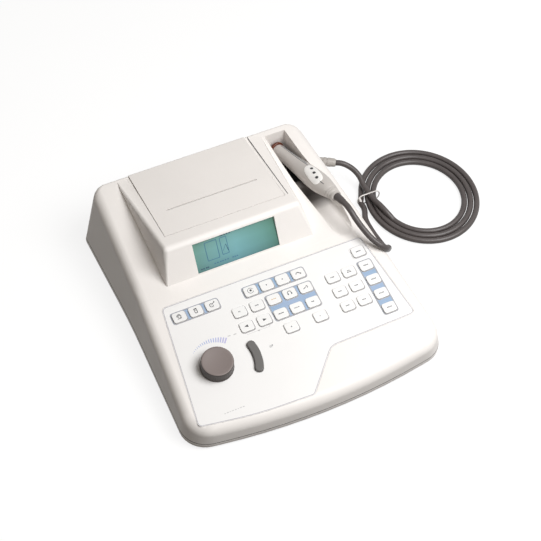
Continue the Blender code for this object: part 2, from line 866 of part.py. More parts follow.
def key_places():
    for group, places in key_groups.items():
        for number, (column, row) in enumerate(places, 1):
            yield f"key_{group}_{number}", column, first_row - row * row_pitch


def flanged_key():
    """The cap joined to its flange: two rounded blocks made as one stepped loft."""
    flange_top = -shell_wall - gap
    flange_low = flange_top - key_flange_thickness
    levels = (
        (flange_low, key_flange, 0.0),
        (flange_top, key_flange, 0.0),
        (flange_top, 0.0, 0.0),
        (key_rise - key_edge, 0.0, 0.0),
        (key_rise, 0.0, key_edge),
    )
    rings = []
    for height, outset, inset in levels:
        half_w = key_width / 2 + outset - inset
        half_d = key_depth / 2 + outset - inset
        radius = key_corner + outset - inset
        corners = [
            (half_w, half_d, radius, 2),
            (-half_w, half_d, radius, 2),
            (-half_w, -half_d, radius, 2),
            (half_w, -half_d, radius, 2),
        ]
        rings.append([Vector((point.x, point.y, height)) for point in rounded(corners)])
    return loft(rings)


key_mesh = None
for name, column, row in key_places():
    source = key_mesh or flanged_key()
    key = add(name, source, key_white, on_panel(column, row))
    key_mesh = key.data

hole_width = key_width + 2 * key_clearance
hole_depth = key_depth + 2 * key_clearance
hole_low = -shell_wall - 2 * gap
key_holes = bmesh.new()
for name, column, row in key_places():
    hole = rounded_block(hole_width, hole_depth, hole_low, overrun, key_corner + key_clearance)
    bmesh.ops.translate(hole, vec=(column, row, 0), verts=hole.verts)
    join(key_holes, hole)
holes = cutter("key_holes", key_holes, panel)


def bar_outline(extra):
    """A band bent round the control, with round ends."""
    outline = []
    half = bar_width / 2 + extra
    steps = 8
    for step in range(steps + 1):
        angle = bar_start + (bar_end - bar_start) * step / steps
        outline.append(Vector((math.cos(angle), math.sin(angle))) * (bar_radius + half))
    for reach, start in ((bar_end, 0.0), (bar_start, math.pi)):
        centre = Vector((math.cos(reach), math.sin(reach))) * bar_radius
        for step in range(1, 6):
            angle = reach + start + math.pi * step / 6
            outline.append(centre + Vector((math.cos(angle), math.sin(angle))) * half)
        if reach == bar_end:
            for step in range(steps + 1):
                angle = bar_end + (bar_start - bar_end) * step / steps
                outline.append(Vector((math.cos(angle), math.sin(angle))) * (bar_radius - half))
    return outline


def control_holes(extra):
    made = prism(bar_outline(key_clearance), hole_low, overrun)
    bush = cylinder(bush_radius + shaft_clearance + extra, hole_low, overrun, 24)
    join(made, bush)
    bmesh.ops.recalc_face_normals(made, faces=made.faces)
    return made


control = on_panel(*knob_place)
controls = cutter("control_holes", control_holes(0.0), control)


def film_outline(extra):
    corners = [
        (film_top_half + extra, film_top + extra, film_corner, 3),
        (-film_top_half - extra, film_top + extra, film_corner, 3),
        (film_low_left[0] - extra, film_low_left[1] - extra, film_corner, 4),
        (film_low_bow[0], film_low_bow[1] - extra, film_bow_radius, 4),
        (film_low_right[0] + extra, film_low_right[1] - extra, film_corner, 4),
        (film_step[0] + extra, film_step[1] - extra, film_step_radius, 4),
        (film_right[0] + extra, film_right[1] - extra, film_corner, 3),
    ]
    return rounded(corners)


recess = cutter("film_recess", prism(film_outline(gap), -overlay_recess, overrun), panel)
cut(top_shell, recess)
cut(top_shell, holes)
cut(top_shell, controls)
overlay = add("keypad_overlay", prism(film_outline(0.0), -overlay_thickness, 0.0), panel_white, panel)
cut(overlay, holes)
cut(overlay, controls)

board_top = -shell_wall - gap - key_flange_thickness - key_travel - dome_room
board_low = (board_left, first_row - board_front_reach, board_top - board_thickness)
board_high = (board_right, first_row + board_rear_reach, board_top)
key_board = add("key_board", box(board_low, board_high), board_green, panel)
domes = bmesh.new()
dome_places = [(column, row) for name, column, row in key_places()]
dome_places.append((knob_place[0] + bar_radius * math.cos((bar_start + bar_end) / 2), knob_place[1]))
for column, row in dome_places:
    dome = cylinder(dome_radius, board_top - board_thickness / 2, board_top + dome_height, 8, dome_radius * 0.7)
    bmesh.ops.translate(dome, vec=(column, row, 0), verts=dome.verts)
    join(domes, dome)
fuse(key_board, cutter("domes", domes, panel))

# Control encoder on the key board, and the control's shaft in its bush
bush_top = gap
encoder_top = -shell_wall - 2 * gap
encoder = cylinder(encoder_radius, board_top - board_thickness / 2, encoder_top, 24)
fuse(key_board, cutter("encoder_case", encoder, control))
bush = cylinder(bush_radius, board_top, bush_top, 24)
fuse(key_board, cutter("encoder_bush", bush, control))
shaft_foot = board_top + shaft_lift
bore = cylinder(shaft_radius + shaft_clearance, shaft_foot - gap, overrun, 24)
cut(key_board, cutter("encoder_bore", bore, control))


def knob_profile():
    return [
        (0.0, knob_height - knob_dish),
        (knob_radius * 0.55, knob_height - knob_dish * 0.8),
        (knob_radius - 2 * knob_edge, knob_height - knob_dish * 0.1),
        (knob_radius - knob_edge, knob_height),
        (knob_radius - knob_edge / 3, knob_height - knob_edge / 3),
        (knob_radius, knob_height - knob_edge),
        (knob_skirt_radius, knob_lift + knob_edge),
        (knob_skirt_radius, knob_lift),
        (shaft_radius, knob_lift),
        (shaft_radius, shaft_foot),
        (0.0, shaft_foot),
    ]


knob = turned("knob", knob_profile(), knob_brown, control, 56)
flutes = bmesh.new()
for flute in range(knob_flutes):
    angle = 2 * math.pi * flute / knob_flutes
    groove = cylinder(flute_depth * 1.4, knob_lift + flute_start, overrun, 6)
    spot = Vector((math.cos(angle), math.sin(angle), 0)) * (knob_radius + flute_depth * 0.9)
    bmesh.ops.translate(groove, vec=spot, verts=groove.verts)
    join(flutes, groove)
cut(knob, cutter("knob_flutes", flutes, control))

bar_flange_top = -shell_wall - gap
bar = prism(bar_outline(0.0), bar_flange_top - key_flange_thickness / 2, bar_rise)
soften(bar, bar_edge, 2, lambda edge: all(vert.co.z > bar_rise - gap for vert in edge.verts))
present_bar = add("present_bar", bar, bar_grey, control)
bar_flange = prism(bar_outline(key_flange), bar_flange_top - key_flange_thickness, bar_flange_top)
fuse(present_bar, cutter("bar_flange", bar_flange, control))

# Printer lid with its paper slot and hinge pins


def lid_profile():
    """Side profile in (y, z): a thin plate whose rear lip wraps round the hinge pin."""
    front = lid_front_y + seam
    points = [(front, lid_height(front) - lid_thickness), (front, lid_height(front))]
    corner = Vector((lid_rear_y, lid_height(lid_rear_y)))
    centre = Vector((corner.x - lid_corner, lid_height(corner.x - lid_corner) - lid_corner))
    for step in range(5):
        angle = math.radians(84 - 84 * step / 4)
        points.append(tuple(centre + Vector((math.cos(angle), math.sin(angle))) * lid_corner))
    for step in range(7):
        angle = -math.pi * step / 6
        y = pin_y + lid_hinge_radius * math.cos(angle)
        points.append((y, pin_height + lid_hinge_radius * math.sin(angle)))
    inner = pin_y - lid_hinge_radius
    points.append((inner, lid_height(inner) - lid_thickness))
    return points


across = Matrix(((0, 0, 1, 0), (1, 0, 0, 0), (0, 1, 0, 0), (0, 0, 0, 1)))
pin_place = Matrix.Translation((0, pin_y, pin_height))
local_lid = [(y - pin_y, z - pin_height) for y, z in lid_profile()]
lid_mesh = prism(local_lid, lid_left, lid_right)
bmesh.ops.transform(lid_mesh, matrix=across, verts=lid_mesh.verts)
printer_door = add("printer_door", lid_mesh, cream, pin_place)
pins = cylinder(lid_pin_radius, lid_left - lid_pin_length, lid_right + lid_pin_length, 16)
fuse(printer_door, cutter("lid_pins", pins, pin_turn))
slot_middle = (lid_left + lid_right) / 2
slot_low = (slot_middle - slot_width / 2, on_roof(slot_y) - slot_gap / 2, -overrun)
slot_high = (slot_middle + slot_width / 2, on_roof(slot_y) + slot_gap / 2, overrun)
cut(printer_door, cutter("paper_slot", box(slot_low, slot_high), roof))

# Printer frame: a tub under the lid's ledge, cut to the slope of the roof

bay_left = lid_left + bay_side_gap
bay_right = lid_right - bay_side_gap
bay_front = lid_front_y + bay_side_gap
tub = add(
    "printer_frame",
    box((bay_left, bay_front, bay_floor_height), (bay_right, bay_rear_y, housing_rear_height + overrun)),
    frame_black,
)
rim_drop = ledge_pad + gap
above_low = (bay_left - overrun, on_roof(bay_front) - overrun, -rim_drop)
above_high = (bay_right + overrun, on_roof(bay_rear_y) + overrun, 3 * overrun)
cut(tub, cutter("frame_top", box(above_low, above_high), roof))
hollow_low = (bay_left + bay_wall, bay_front + bay_wall, bay_floor_height + bay_wall)
hollow_high = (bay_right - bay_wall, bay_rear_y - bay_wall, housing_rear_height + 2 * overrun)
cut(tub, cutter("frame_hollow", box(hollow_low, hollow_high)))
platen_height = lid_height(platen_y) - platen_drop
platen_turn = Matrix.Translation((0, platen_y, platen_height)) @ Matrix.Rotation(math.radians(90), 4, "Y")
journal_hole = cylinder(journal_radius + journal_clearance, bay_left - overrun, bay_right + overrun, 20)
cut(tub, cutter("journal_hole", journal_hole, platen_turn))

# Platen roller with its journals and drive gear

platen_middle = (bay_left + bay_right) / 2
platen_place = Matrix.Translation((platen_middle, platen_y, platen_height))
level_turn = Matrix.Rotation(math.radians(90), 4, "Y")
half_platen = platen_width / 2
half_bay = (bay_right - bay_left) / 2
journal_reach = half_bay + gear_width + 2 * gap


def gear_outline():
    outline = []
    for tooth in range(gear_teeth):
        for share, radius in ((0.0, 0.0), (0.22, 1.0), (0.42, 1.0), (0.64, 0.0)):
            angle = 2 * math.pi * (tooth + share) / gear_teeth
            reach = gear_radius - tooth_depth + tooth_depth * radius
            outline.append(Vector((math.cos(angle), math.sin(angle))) * reach)
    return outline


roller = [
    (0.0, half_bay + gap),
    (journal_radius, half_bay + gap),
    (journal_radius, half_platen),
    (platen_radius, half_platen),
    (platen_radius, -half_platen),
    (journal_radius, -half_platen),
    (journal_radius, -journal_reach),
    (0.0, -journal_reach),
]
platen = turned("platen_roller", roller, roller_rubber, platen_place @ level_turn, 28)
gear_low = -journal_reach
gear = prism(gear_outline(), gear_low, gear_low + gear_width)
fuse(platen, cutter("platen_gear", gear, platen_place @ level_turn))

# Print head: a bar in front of the platen, carried between the frame's sides

head_front = platen_y - platen_radius - gap - head_thickness
head_low = (bay_left + bay_wall + gap, head_front, platen_height - head_height / 2)
head_high = (bay_right - bay_wall - gap, head_front + head_thickness, platen_height + head_height / 2)
head = box(head_low, head_high)
soften(head, gap * 2, 1, lambda edge: True)
add("print_head", head, metal_zinc)

# Paper roll on its core, lying in the tub

paper_height = bay_floor_height + bay_wall + gap + paper_radius
paper_place = Matrix.Translation((platen_middle, paper_y, paper_height))
half_paper = paper_width / 2
roll = [
    (paper_core_radius, half_paper),
    (paper_radius, half_paper),
    (paper_radius, -half_paper),
    (paper_core_radius, -half_paper),
    (paper_core_radius, half_paper),
]
turned("paper_roll", roll, paper_white, paper_place @ level_turn, 40)

# Base pan with its lip, bosses and the four feet

rim = rounded(rim_corners)
rim_in = inward(rim)


def rim_ring(inset, height):
    return [Vector((*(point + normal * inset), height)) for point, normal in zip(rim, rim_in)]


pan_top = foot_height + pan_thickness
base_pan = add("base_pan", loft([rim_ring(pan_inset, foot_height), rim_ring(pan_inset, pan_top)]), pan_grey)
lip_top = pan_top + pan_lip_height
lip_wall = shell_wall + pan_lip_gap
lip = [wall_ring(lip_wall, pan_top - pan_thickness / 2), wall_ring(lip_wall, lip_top)]
fuse(base_pan, cutter("pan_lip", loft(lip)))
room_wall = lip_wall + pan_lip_wall
lip_room = [wall_ring(room_wall, pan_top), wall_ring(room_wall, lip_top + pan_thickness)]
cut(base_pan, cutter("pan_lip_room", loft(lip_room)))
board_bottom = foot_height + main_lift + pan_thickness
bosses = bmesh.new()
for x in (main_left + boss_inset, main_right - boss_inset):
    for y in (main_front + boss_inset, main_rear - boss_inset):
        boss = cylinder(boss_radius, pan_top - pan_thickness / 2, board_bottom - gap, 16)
        bmesh.ops.translate(boss, vec=(x, y, 0), verts=boss.verts)
        join(bosses, boss)
fuse(base_pan, cutter("pan_bosses", bosses))

foot_profile = [
    (0.0, foot_height - gap),
    (foot_radius, foot_height - gap),
    (foot_radius, foot_height * 0.4),
    (foot_radius - foot_edge, 0.0),
    (0.0, 0.0),
]
for row, y in (("rear", half_depth - foot_inset), ("front", -half_depth + foot_inset)):
    for side, x in (("left", -rim_waist_half + foot_inset), ("right", rim_waist_half - foot_inset)):
        turned(f"foot_{row}_{side}", foot_profile, foot_rubber, Matrix.Translation((x, y, 0)), 24)

# Main board with its larger components, and the pressure pump

main_board = add(
    "main_board",
    box((main_left, main_front, board_bottom), (main_right, main_rear, board_bottom + board_thickness)),
    board_green,
)
chips = bmesh.new()
for across_share, along_share, width_share, depth_share in component_shares:
    x = main_left + (main_right - main_left) * across_share
    y = main_front + (main_rear - main_front) * along_share
    chip = box(
        (x, y, board_bottom + board_thickness / 2),
        (
            x + (main_right - main_left) * width_share,
            y + (main_rear - main_front) * depth_share,
            board_bottom + board_thickness + component_height,
        ),
    )
    join(chips, chip)
fuse(main_board, cutter("board_chips", chips))

pump_height = pan_top + gap + pump_radius
pump_place = Matrix.Translation((pump_left, pump_y, pump_height)) @ level_turn
pump_length = pump_right - pump_left
motor_radius = pump_radius * 0.78
pump_profile = [
    (0.0, pump_length),
    (port_radius, pump_length),
    (port_radius, pump_length - port_length),
    (pump_radius, pump_length - port_length),
    (pump_radius, pump_length - port_length - pump_head_length),
    (motor_radius, pump_length - port_length - pump_head_length),
    (motor_radius, 0.0),
    (0.0, 0.0),
]
turned("pressure_pump", pump_profile, metal_zinc, pump_place, 28)

# Rear power module: inlet with its blades, and the rocker beside it

rear_wall_y = half_depth - top_rear_setback * (power_top / housing_rear_height)
power_middle = (power_bottom + power_top) / 2
window_margin = gap
power_hole_low = (module_left - window_margin, half_depth - 3 * shell_wall, power_bottom - window_margin)
power_hole_high = (module_right + window_margin, half_depth + overrun, power_top + window_margin)
cut(top_shell, cutter("power_hole", box(power_hole_low, power_hole_high)))
power_inlet = add(
    "power_inlet",
    box((module_left, rear_wall_y - power_depth, power_bottom), (module_right, rear_wall_y, power_top)),
    inlet_black,
)
inlet_x = module_left + module_margin_left + inlet_width / 2
inlet_place = Matrix.Translation((inlet_x, rear_wall_y, power_middle)) @ Matrix.Rotation(math.radians(90), 4, "X")
half_w = inlet_width / 2
half_h = inlet_height / 2
socket_corners = [
    (half_w, half_h - inlet_corner),
    (half_w - inlet_corner, half_h),
    (-half_w + inlet_corner, half_h),
    (-half_w, half_h - inlet_corner),
    (-half_w, -half_h),
    (half_w, -half_h),
]
cut(power_inlet, cutter("inlet_room", prism(socket_corners, -overrun, inlet_depth), inlet_place))
for number, (shift, rise) in enumerate(((-1, -0.25), (0, 0.25), (1, -0.25))):
    x = inlet_x + shift * blade_pitch
    z = power_middle + rise * inlet_height
    low = (x - blade_width / 2, rear_wall_y - inlet_depth - shell_wall / 2, z - blade_height / 2)
    high = (x + blade_width / 2, rear_wall_y - shell_wall, z + blade_height / 2)
    fuse(power_inlet, cutter(f"blade_{number}", box(low, high)))
rocker_x = module_right - module_margin_right - rocker_width / 2
rocker_gap = 2 * gap
room_half_width = rocker_width / 2 + gap
room_half_height = rocker_height / 2 + rocker_gap
room_low = (rocker_x - room_half_width, rear_wall_y - rocker_room_depth, power_middle - room_half_height)
room_high = (rocker_x + room_half_width, rear_wall_y + overrun, power_middle + room_half_height)
rocker_room = box(room_low, room_high)
cut(power_inlet, cutter("rocker_room", rocker_room))

rocker_axis_y = rear_wall_y - rocker_axis_depth
lean = Matrix.Rotation(-rocker_half_swing, 4, "X")
rocker_place = Matrix.Translation((rocker_x, rocker_axis_y, power_middle))
rocker_half = rocker_height / 2 - rocker_end_gap
front_reach = rear_wall_y - rocker_axis_y + rocker_rise
rocker_outline = [
    (front_reach, rocker_half),
    (front_reach - rocker_half * math.tan(rocker_half_swing), 0.0),
    (front_reach, -rocker_half),
    (-rocker_depth * 0.2, -rocker_half * 0.8),
    (-rocker_depth * 0.45, -rocker_half * 0.4),
    (-rocker_depth * 0.45, rocker_half * 0.4),
    (-rocker_depth * 0.2, rocker_half * 0.8),
]
rocker = prism(rocker_outline, -rocker_width / 2, rocker_width / 2)
bmesh.ops.transform(rocker, matrix=lean @ across, verts=rocker.verts)
add("power_switch", rocker, inlet_black, rocker_place)

# Probe socket in the right wall, and the plug in it

socket_frame = Matrix.Translation(socket_place) @ Matrix.Rotation(socket_turn, 4, "Z") @ level_turn
socket_hole = cylinder(socket_radius + gap, -overrun, overrun, 28)
cut(top_shell, cutter("socket_hole", socket_hole, socket_frame))
bore_radius = plug_radius * 0.62
socket_profile = [
    (bore_radius + gap, socket_length),
    (socket_radius, socket_length),
    (socket_radius, -socket_length * 0.5),
    (bore_radius + gap, -socket_length * 0.5),
    (bore_radius + gap, socket_length),
]
turned("probe_socket", socket_profile, plug_grey, socket_frame, 28)
plug_start = socket_length + gap
plug_end = plug_start + plug_length
plug_profile = [
    (0.0, plug_end),
    (cord_radius + jacket_sleeve, plug_end),
    (plug_radius - plug_groove_depth / 2, plug_end - plug_tail_length),
    (plug_radius - plug_groove_depth, plug_end - plug_tail_length - plug_groove_width / 2),
    (plug_radius, plug_end - plug_tail_length - plug_groove_width),
    (plug_radius, plug_start),
    (bore_radius, plug_start),
    (bore_radius, plug_start - socket_length),
    (0.0, plug_start - socket_length),
]
turned("probe_plug", plug_profile, plug_grey, socket_frame, 28)

# Probe: body with its nozzle, rubber cuff and strain relief

probe_body = add("probe_body", loft(probe_rings(0.0)), probe_grey, probe_place, smooth=60)
nozzle = cylinder(nozzle_radius, -nozzle_length / 2, nozzle_length, 20)
fuse(probe_body, cutter("nozzle", nozzle, probe_place))
nozzle_hole = cylinder(nozzle_bore, 0.0, overrun, 12)
cut(probe_body, cutter("nozzle_hole", nozzle_hole, probe_place))

cuff_bore = nozzle_radius + gap
cuff_profile = [
    (cuff_bore, cuff_foot + cuff_length),
    (cuff_bore + cuff_wall * 0.6, cuff_foot + cuff_length),
    (cuff_radius * 0.62, cuff_foot + cuff_length * 0.86),
    (cuff_radius * 0.92, cuff_foot + cuff_length * 0.55),
    (cuff_radius, cuff_foot + cuff_length * 0.22),
    (cuff_radius * 0.96, cuff_foot + cuff_length * 0.08),
    (cuff_radius * 0.84, cuff_foot + cuff_length * 0.16),
    (cuff_bore + cuff_wall, cuff_foot + cuff_length * 0.52),
    (cuff_bore + cuff_wall, cuff_foot),
    (cuff_bore, cuff_foot),
    (cuff_bore, cuff_foot + cuff_length),
]
turned("probe_tip", cuff_profile, cuff_rubber, probe_place, 32)

level_axis = Vector((probe_axis.x, probe_axis.y, 0)).normalized()
relief_sides = 20
relief_steps = 3


def relief_line():
    """Places and directions along the relief, which bends from the probe's line to level."""
    spot = tail + probe_axis * gap
    line = []
    for step in range(relief_steps + 1):
        way = probe_axis.lerp(level_axis, step / relief_steps).normalized()
        line.append((spot.copy(), way))
        spot += way * relief_length / relief_steps
    return line


relief_rings = []
for number, (spot, way) in enumerate(relief_line()):
    share = number / relief_steps
    radius = relief_radius + (cord_radius + jacket_sleeve - relief_radius) * share
    up = side_axis.cross(way).normalized()
    ring = []
    for step in range(relief_sides):
        angle = 2 * math.pi * step / relief_sides
        ring.append(spot + (side_axis * math.cos(angle) + up * math.sin(angle)) * radius)
    relief_rings.append(ring)
add("probe_relief", loft(relief_rings), cord_grey)

# Cord: coil with its real loops, and the stretches from the plug and to the probe


def tube(name, points, resolution):
    curve = bpy.data.curves.new(name, "CURVE")
    curve.dimensions = "3D"
    curve.bevel_depth = cord_radius
    curve.bevel_resolution = resolution
    curve.use_fill_caps = True
    spline = curve.splines.new("POLY")
    spline.points.add(len(points) - 1)
    for knot, point in zip(spline.points, points):
        knot.co = (*point, 1.0)
    path = bpy.data.objects.new(name + "_path", curve)
    mesh = bpy.data.meshes.new_from_object(path)
    bpy.data.objects.remove(path, do_unlink=True)
    made = bmesh.new()
    made.from_mesh(mesh)
    bpy.data.meshes.remove(mesh)
    bmesh.ops.remove_doubles(made, verts=made.verts, dist=gap / 100)
    return add(name, made, cord_grey, smooth=60.0)


def coil_line():
    """The coil's middle line: an open spiral that lifts a little where the tie passes under it."""
    line = []
    count = round(coil_sweep / 360 * coil_steps)
    for step in range(count + 1):
        turned_by = coil_sweep * step / count
        turns = turned_by / 360
        angle = math.radians(coil_start + turned_by)
        radius = coil_first_radius + coil_pitch * turns
        near_tie = max(0.0, math.cos(angle - math.radians(tie_angle)))
        x = coil_centre[0] + coil_drift * turns + radius * math.cos(angle)
        y = coil_centre[1] + coil_stretch * radius * math.sin(angle)
        line.append(Vector((x, y, coil_height + coil_lift * near_tie**6)))
    first = (line[0] - line[1]).normalized()
    last = (line[-1] - line[-2]).normalized()
    first.z = math.tan(coil_rise)
    first.normalize()
    last.z = 0.0
    straight = 2 * cord_radius
    return [line[0] + first * straight, *line, line[-1] + last * straight]


def least_gap(line):
    """The least gap between the coil's own loops."""
    least = None
    for here in range(len(line) - 1):
        for there in range(here + coil_steps // 2, len(line) - 1):
            run = line[there + 1] - line[there]
            share = (line[here] - line[there]).dot(run) / run.length_squared
            nearest = line[there] + run * min(1.0, max(0.0, share))
            apart = (line[here] - nearest).length - 2 * cord_radius
            least = apart if least is None else min(least, apart)
    return least


def smooth_line(points):
    """A smooth curve through the points, read at even steps."""
    points = [Vector(point) for point in points]
    before = [points[0] * 2 - points[1], *points]
    after = [*points, points[-1] * 2 - points[-2]]
    fine = []
    for here in range(len(points) - 1):
        start, end = points[here], points[here + 1]
        leaving = (points[here + 1] - before[here]) / 2
        arriving = (after[here + 2] - points[here]) / 2
        for step in range(12):
            t = step / 12
            fine.append(
                start * (2 * t**3 - 3 * t**2 + 1)
                + leaving * (t**3 - 2 * t**2 + t)
                + end * (3 * t**2 - 2 * t**3)
                + arriving * (t**3 - t**2)
            )
    fine.append(points[-1])
    total = sum((b - a).length for a, b in zip(fine, fine[1:]))
    count = max(2, round(total / (stretch_step * 2 * cord_radius)))
    line = [fine[0]]
    passed = 0.0
    for a, b in zip(fine, fine[1:]):
        span = (b - a).length
        while len(line) < count and passed + span >= total * len(line) / count:
            line.append(a.lerp(b, (total * len(line) / count - passed) / span))
        passed += span
    line.append(fine[-1])
    return line, total


coil = coil_line()
tube("cord_coil", coil, 1)
coil_length = sum((b - a).length for a, b in zip(coil, coil[1:]))
print("coil least gap (mm):", round(least_gap(coil[1:-1]) / MM, 2))


def stretch(name, start, leaving, route, end, arriving):
    """A free stretch that leaves and meets its ends straight; gives back its length."""
    lead = 2 * cord_radius
    line, length = smooth_line([start + leaving * lead, *route, end + arriving * lead])
    tube(name, [start, *line, end], 3)
    return length + 2 * lead


outwards = (socket_frame.to_3x3() @ Vector((0, 0, 1))).normalized()
plug_tip = socket_frame @ Vector((0, 0, plug_end + gap))
entry_way = (coil[0] - coil[1]).normalized()
exit_way = (coil[-1] - coil[-2]).normalized()
relief_tip = relief_line()[-1][0] + level_axis * gap
coil_entry = coil[0] + entry_way * gap
coil_exit = coil[-1] + exit_way * gap
socket_cord = stretch("cord_socket_side", plug_tip, outwards, socket_side_route, coil_entry, entry_way)
probe_cord = stretch("cord_probe_side", coil_exit, exit_way, probe_side_route, relief_tip, level_axis)
print("cord length (mm):", round((coil_length + socket_cord + probe_cord) / MM))

tie_middle = Vector(((tie_low[0] + tie_high[0]) / 2, tie_y, (tie_low[1] + tie_high[1]) / 2))
tie_place = Matrix.Translation(tie_middle) @ Matrix.Rotation(math.radians(90), 4, "X")
tie_half = ((tie_high[0] - tie_low[0]) / 2, (tie_high[1] - tie_low[1]) / 2)


def tie_ring(extra, half_width):
    half_w = tie_half[0] + extra
    half_h = tie_half[1] + extra
    radius = tie_corner + extra
    corners = [(x, y, radius, 4) for x, y in ((half_w, half_h), (-half_w, half_h), (-half_w, -half_h))]
    corners.append((half_w, -half_h, radius, 4))
    return prism(rounded(corners), -half_width, half_width)


tie = add("cord_tie", tie_ring(tie_thickness, tie_width / 2), tie_white, tie_place)
cut(tie, cutter("tie_room", tie_ring(0.0, tie_width), tie_place))
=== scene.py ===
"""Looks of the desktop tympanometer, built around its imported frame. Metres, +Z up."""

import json
import math

import bmesh
import bpy
from mathutils import Matrix, Vector
from mathutils.bvhtree import BVHTree


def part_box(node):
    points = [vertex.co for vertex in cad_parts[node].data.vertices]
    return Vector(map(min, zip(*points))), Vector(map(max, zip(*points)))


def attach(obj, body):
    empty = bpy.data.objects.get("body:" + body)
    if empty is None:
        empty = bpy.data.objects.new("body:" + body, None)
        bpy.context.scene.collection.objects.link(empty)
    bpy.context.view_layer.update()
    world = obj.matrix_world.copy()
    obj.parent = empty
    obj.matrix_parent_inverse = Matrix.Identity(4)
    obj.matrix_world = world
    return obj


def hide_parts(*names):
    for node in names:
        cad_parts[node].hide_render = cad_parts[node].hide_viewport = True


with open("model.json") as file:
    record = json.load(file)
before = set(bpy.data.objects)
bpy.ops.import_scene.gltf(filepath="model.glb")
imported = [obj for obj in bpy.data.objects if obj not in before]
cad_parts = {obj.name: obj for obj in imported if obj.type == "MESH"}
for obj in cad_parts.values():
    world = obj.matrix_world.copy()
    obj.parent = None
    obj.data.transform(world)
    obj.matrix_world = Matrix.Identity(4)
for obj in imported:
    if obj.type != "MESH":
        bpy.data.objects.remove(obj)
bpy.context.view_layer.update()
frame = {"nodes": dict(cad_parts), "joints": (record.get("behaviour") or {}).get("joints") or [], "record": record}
nodes = frame["nodes"]
joints = {joint["name"]: joint for joint in frame["joints"]}

MM = 0.001
node_merge = 0.01 * MM
piece_merge = 0.001 * MM
flat_angle = math.radians(0.4)
sharp_angle = 50.0
facing_up = 0.9
above_all = 1.0


def stand(name, data):
    """A new object in the scene."""
    obj = bpy.data.objects.new(name, data)
    bpy.context.scene.collection.objects.link(obj)
    return obj


# Camera: the photograph's view

focal_px = 1400.0
photo_px = 541.0
sensor_width = 36.0
view_azimuth = math.radians(25.05)
view_elevation = math.radians(51.12)
view_distance = 1.586
view_target = Vector((0.0230, 0.0241, 0.0126))


def place_camera():
    data = bpy.data.cameras.new("photo camera")
    data.sensor_width = sensor_width
    data.lens = focal_px / photo_px * sensor_width
    camera = stand("photo camera", data)
    level = math.cos(view_elevation)
    back = Vector((-math.sin(view_azimuth) * level, -math.cos(view_azimuth) * level, math.sin(view_elevation)))
    camera.location = view_target + back * view_distance
    camera.rotation_euler = (-back).to_track_quat("-Z", "Y").to_euler()
    bpy.context.scene.camera = camera


place_camera()

# Places taken from the frame

press_axis = Vector(joints["knob_turn"]["axis"])
knob_spot = Vector(joints["knob_turn"]["pos_m"])
panel_slope = math.atan2(-press_axis.y, press_axis.z)
panel_middle = knob_spot.z + knob_spot.y * press_axis.y / press_axis.z
panel = Matrix.Translation((0, 0, panel_middle)) @ Matrix.Rotation(panel_slope, 4, "X")


def on_panel(u, v, w=0.0):
    """A place on the sloping panel: u across, v up the slope, w out of it."""
    return panel @ Matrix.Translation((u, v, w))


def panel_place(point):
    return panel.inverted() @ Vector(point)


def middle_of(node):
    low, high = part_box(node)
    return (low + high) / 2


# Materials


noise_roughness = 0.55


class Nodes:
    """A node tree and short ways to fill it."""

    def __init__(self, tree):
        self.tree = tree

    def join(self, out, into):
        self.tree.links.new(out, into)

    def node(self, kind, inputs=(), **settings):
        """A new node with its settings, then its inputs: each gets a value or another node's output."""
        made = self.tree.nodes.new(kind)
        for name, value in settings.items():
            setattr(made, name, value)
        for name, value in dict(inputs).items():
            if isinstance(value, bpy.types.NodeSocket):
                self.join(value, made.inputs[name])
            else:
                made.inputs[name].default_value = value
        return made

    def white_rays(self):
        """One where the camera looks, or a mirror or a window shows, and nought for all other light."""
        rays = self.node("ShaderNodeLightPath").outputs
        total = rays["Is Camera Ray"]
        for ray in ("Is Glossy Ray", "Is Transmission Ray"):
            total = self.node("ShaderNodeMath", {0: total, 1: rays[ray]}, operation="MAXIMUM").outputs["Value"]
        return total

    def blend(self, share, first, second, output):
        """Sends a mix of two shaders to the tree's output."""
        mix = self.node("ShaderNodeMixShader", {"Fac": share, 1: first, 2: second})
        self.join(mix.outputs["Shader"], self.tree.nodes[output].inputs["Surface"])


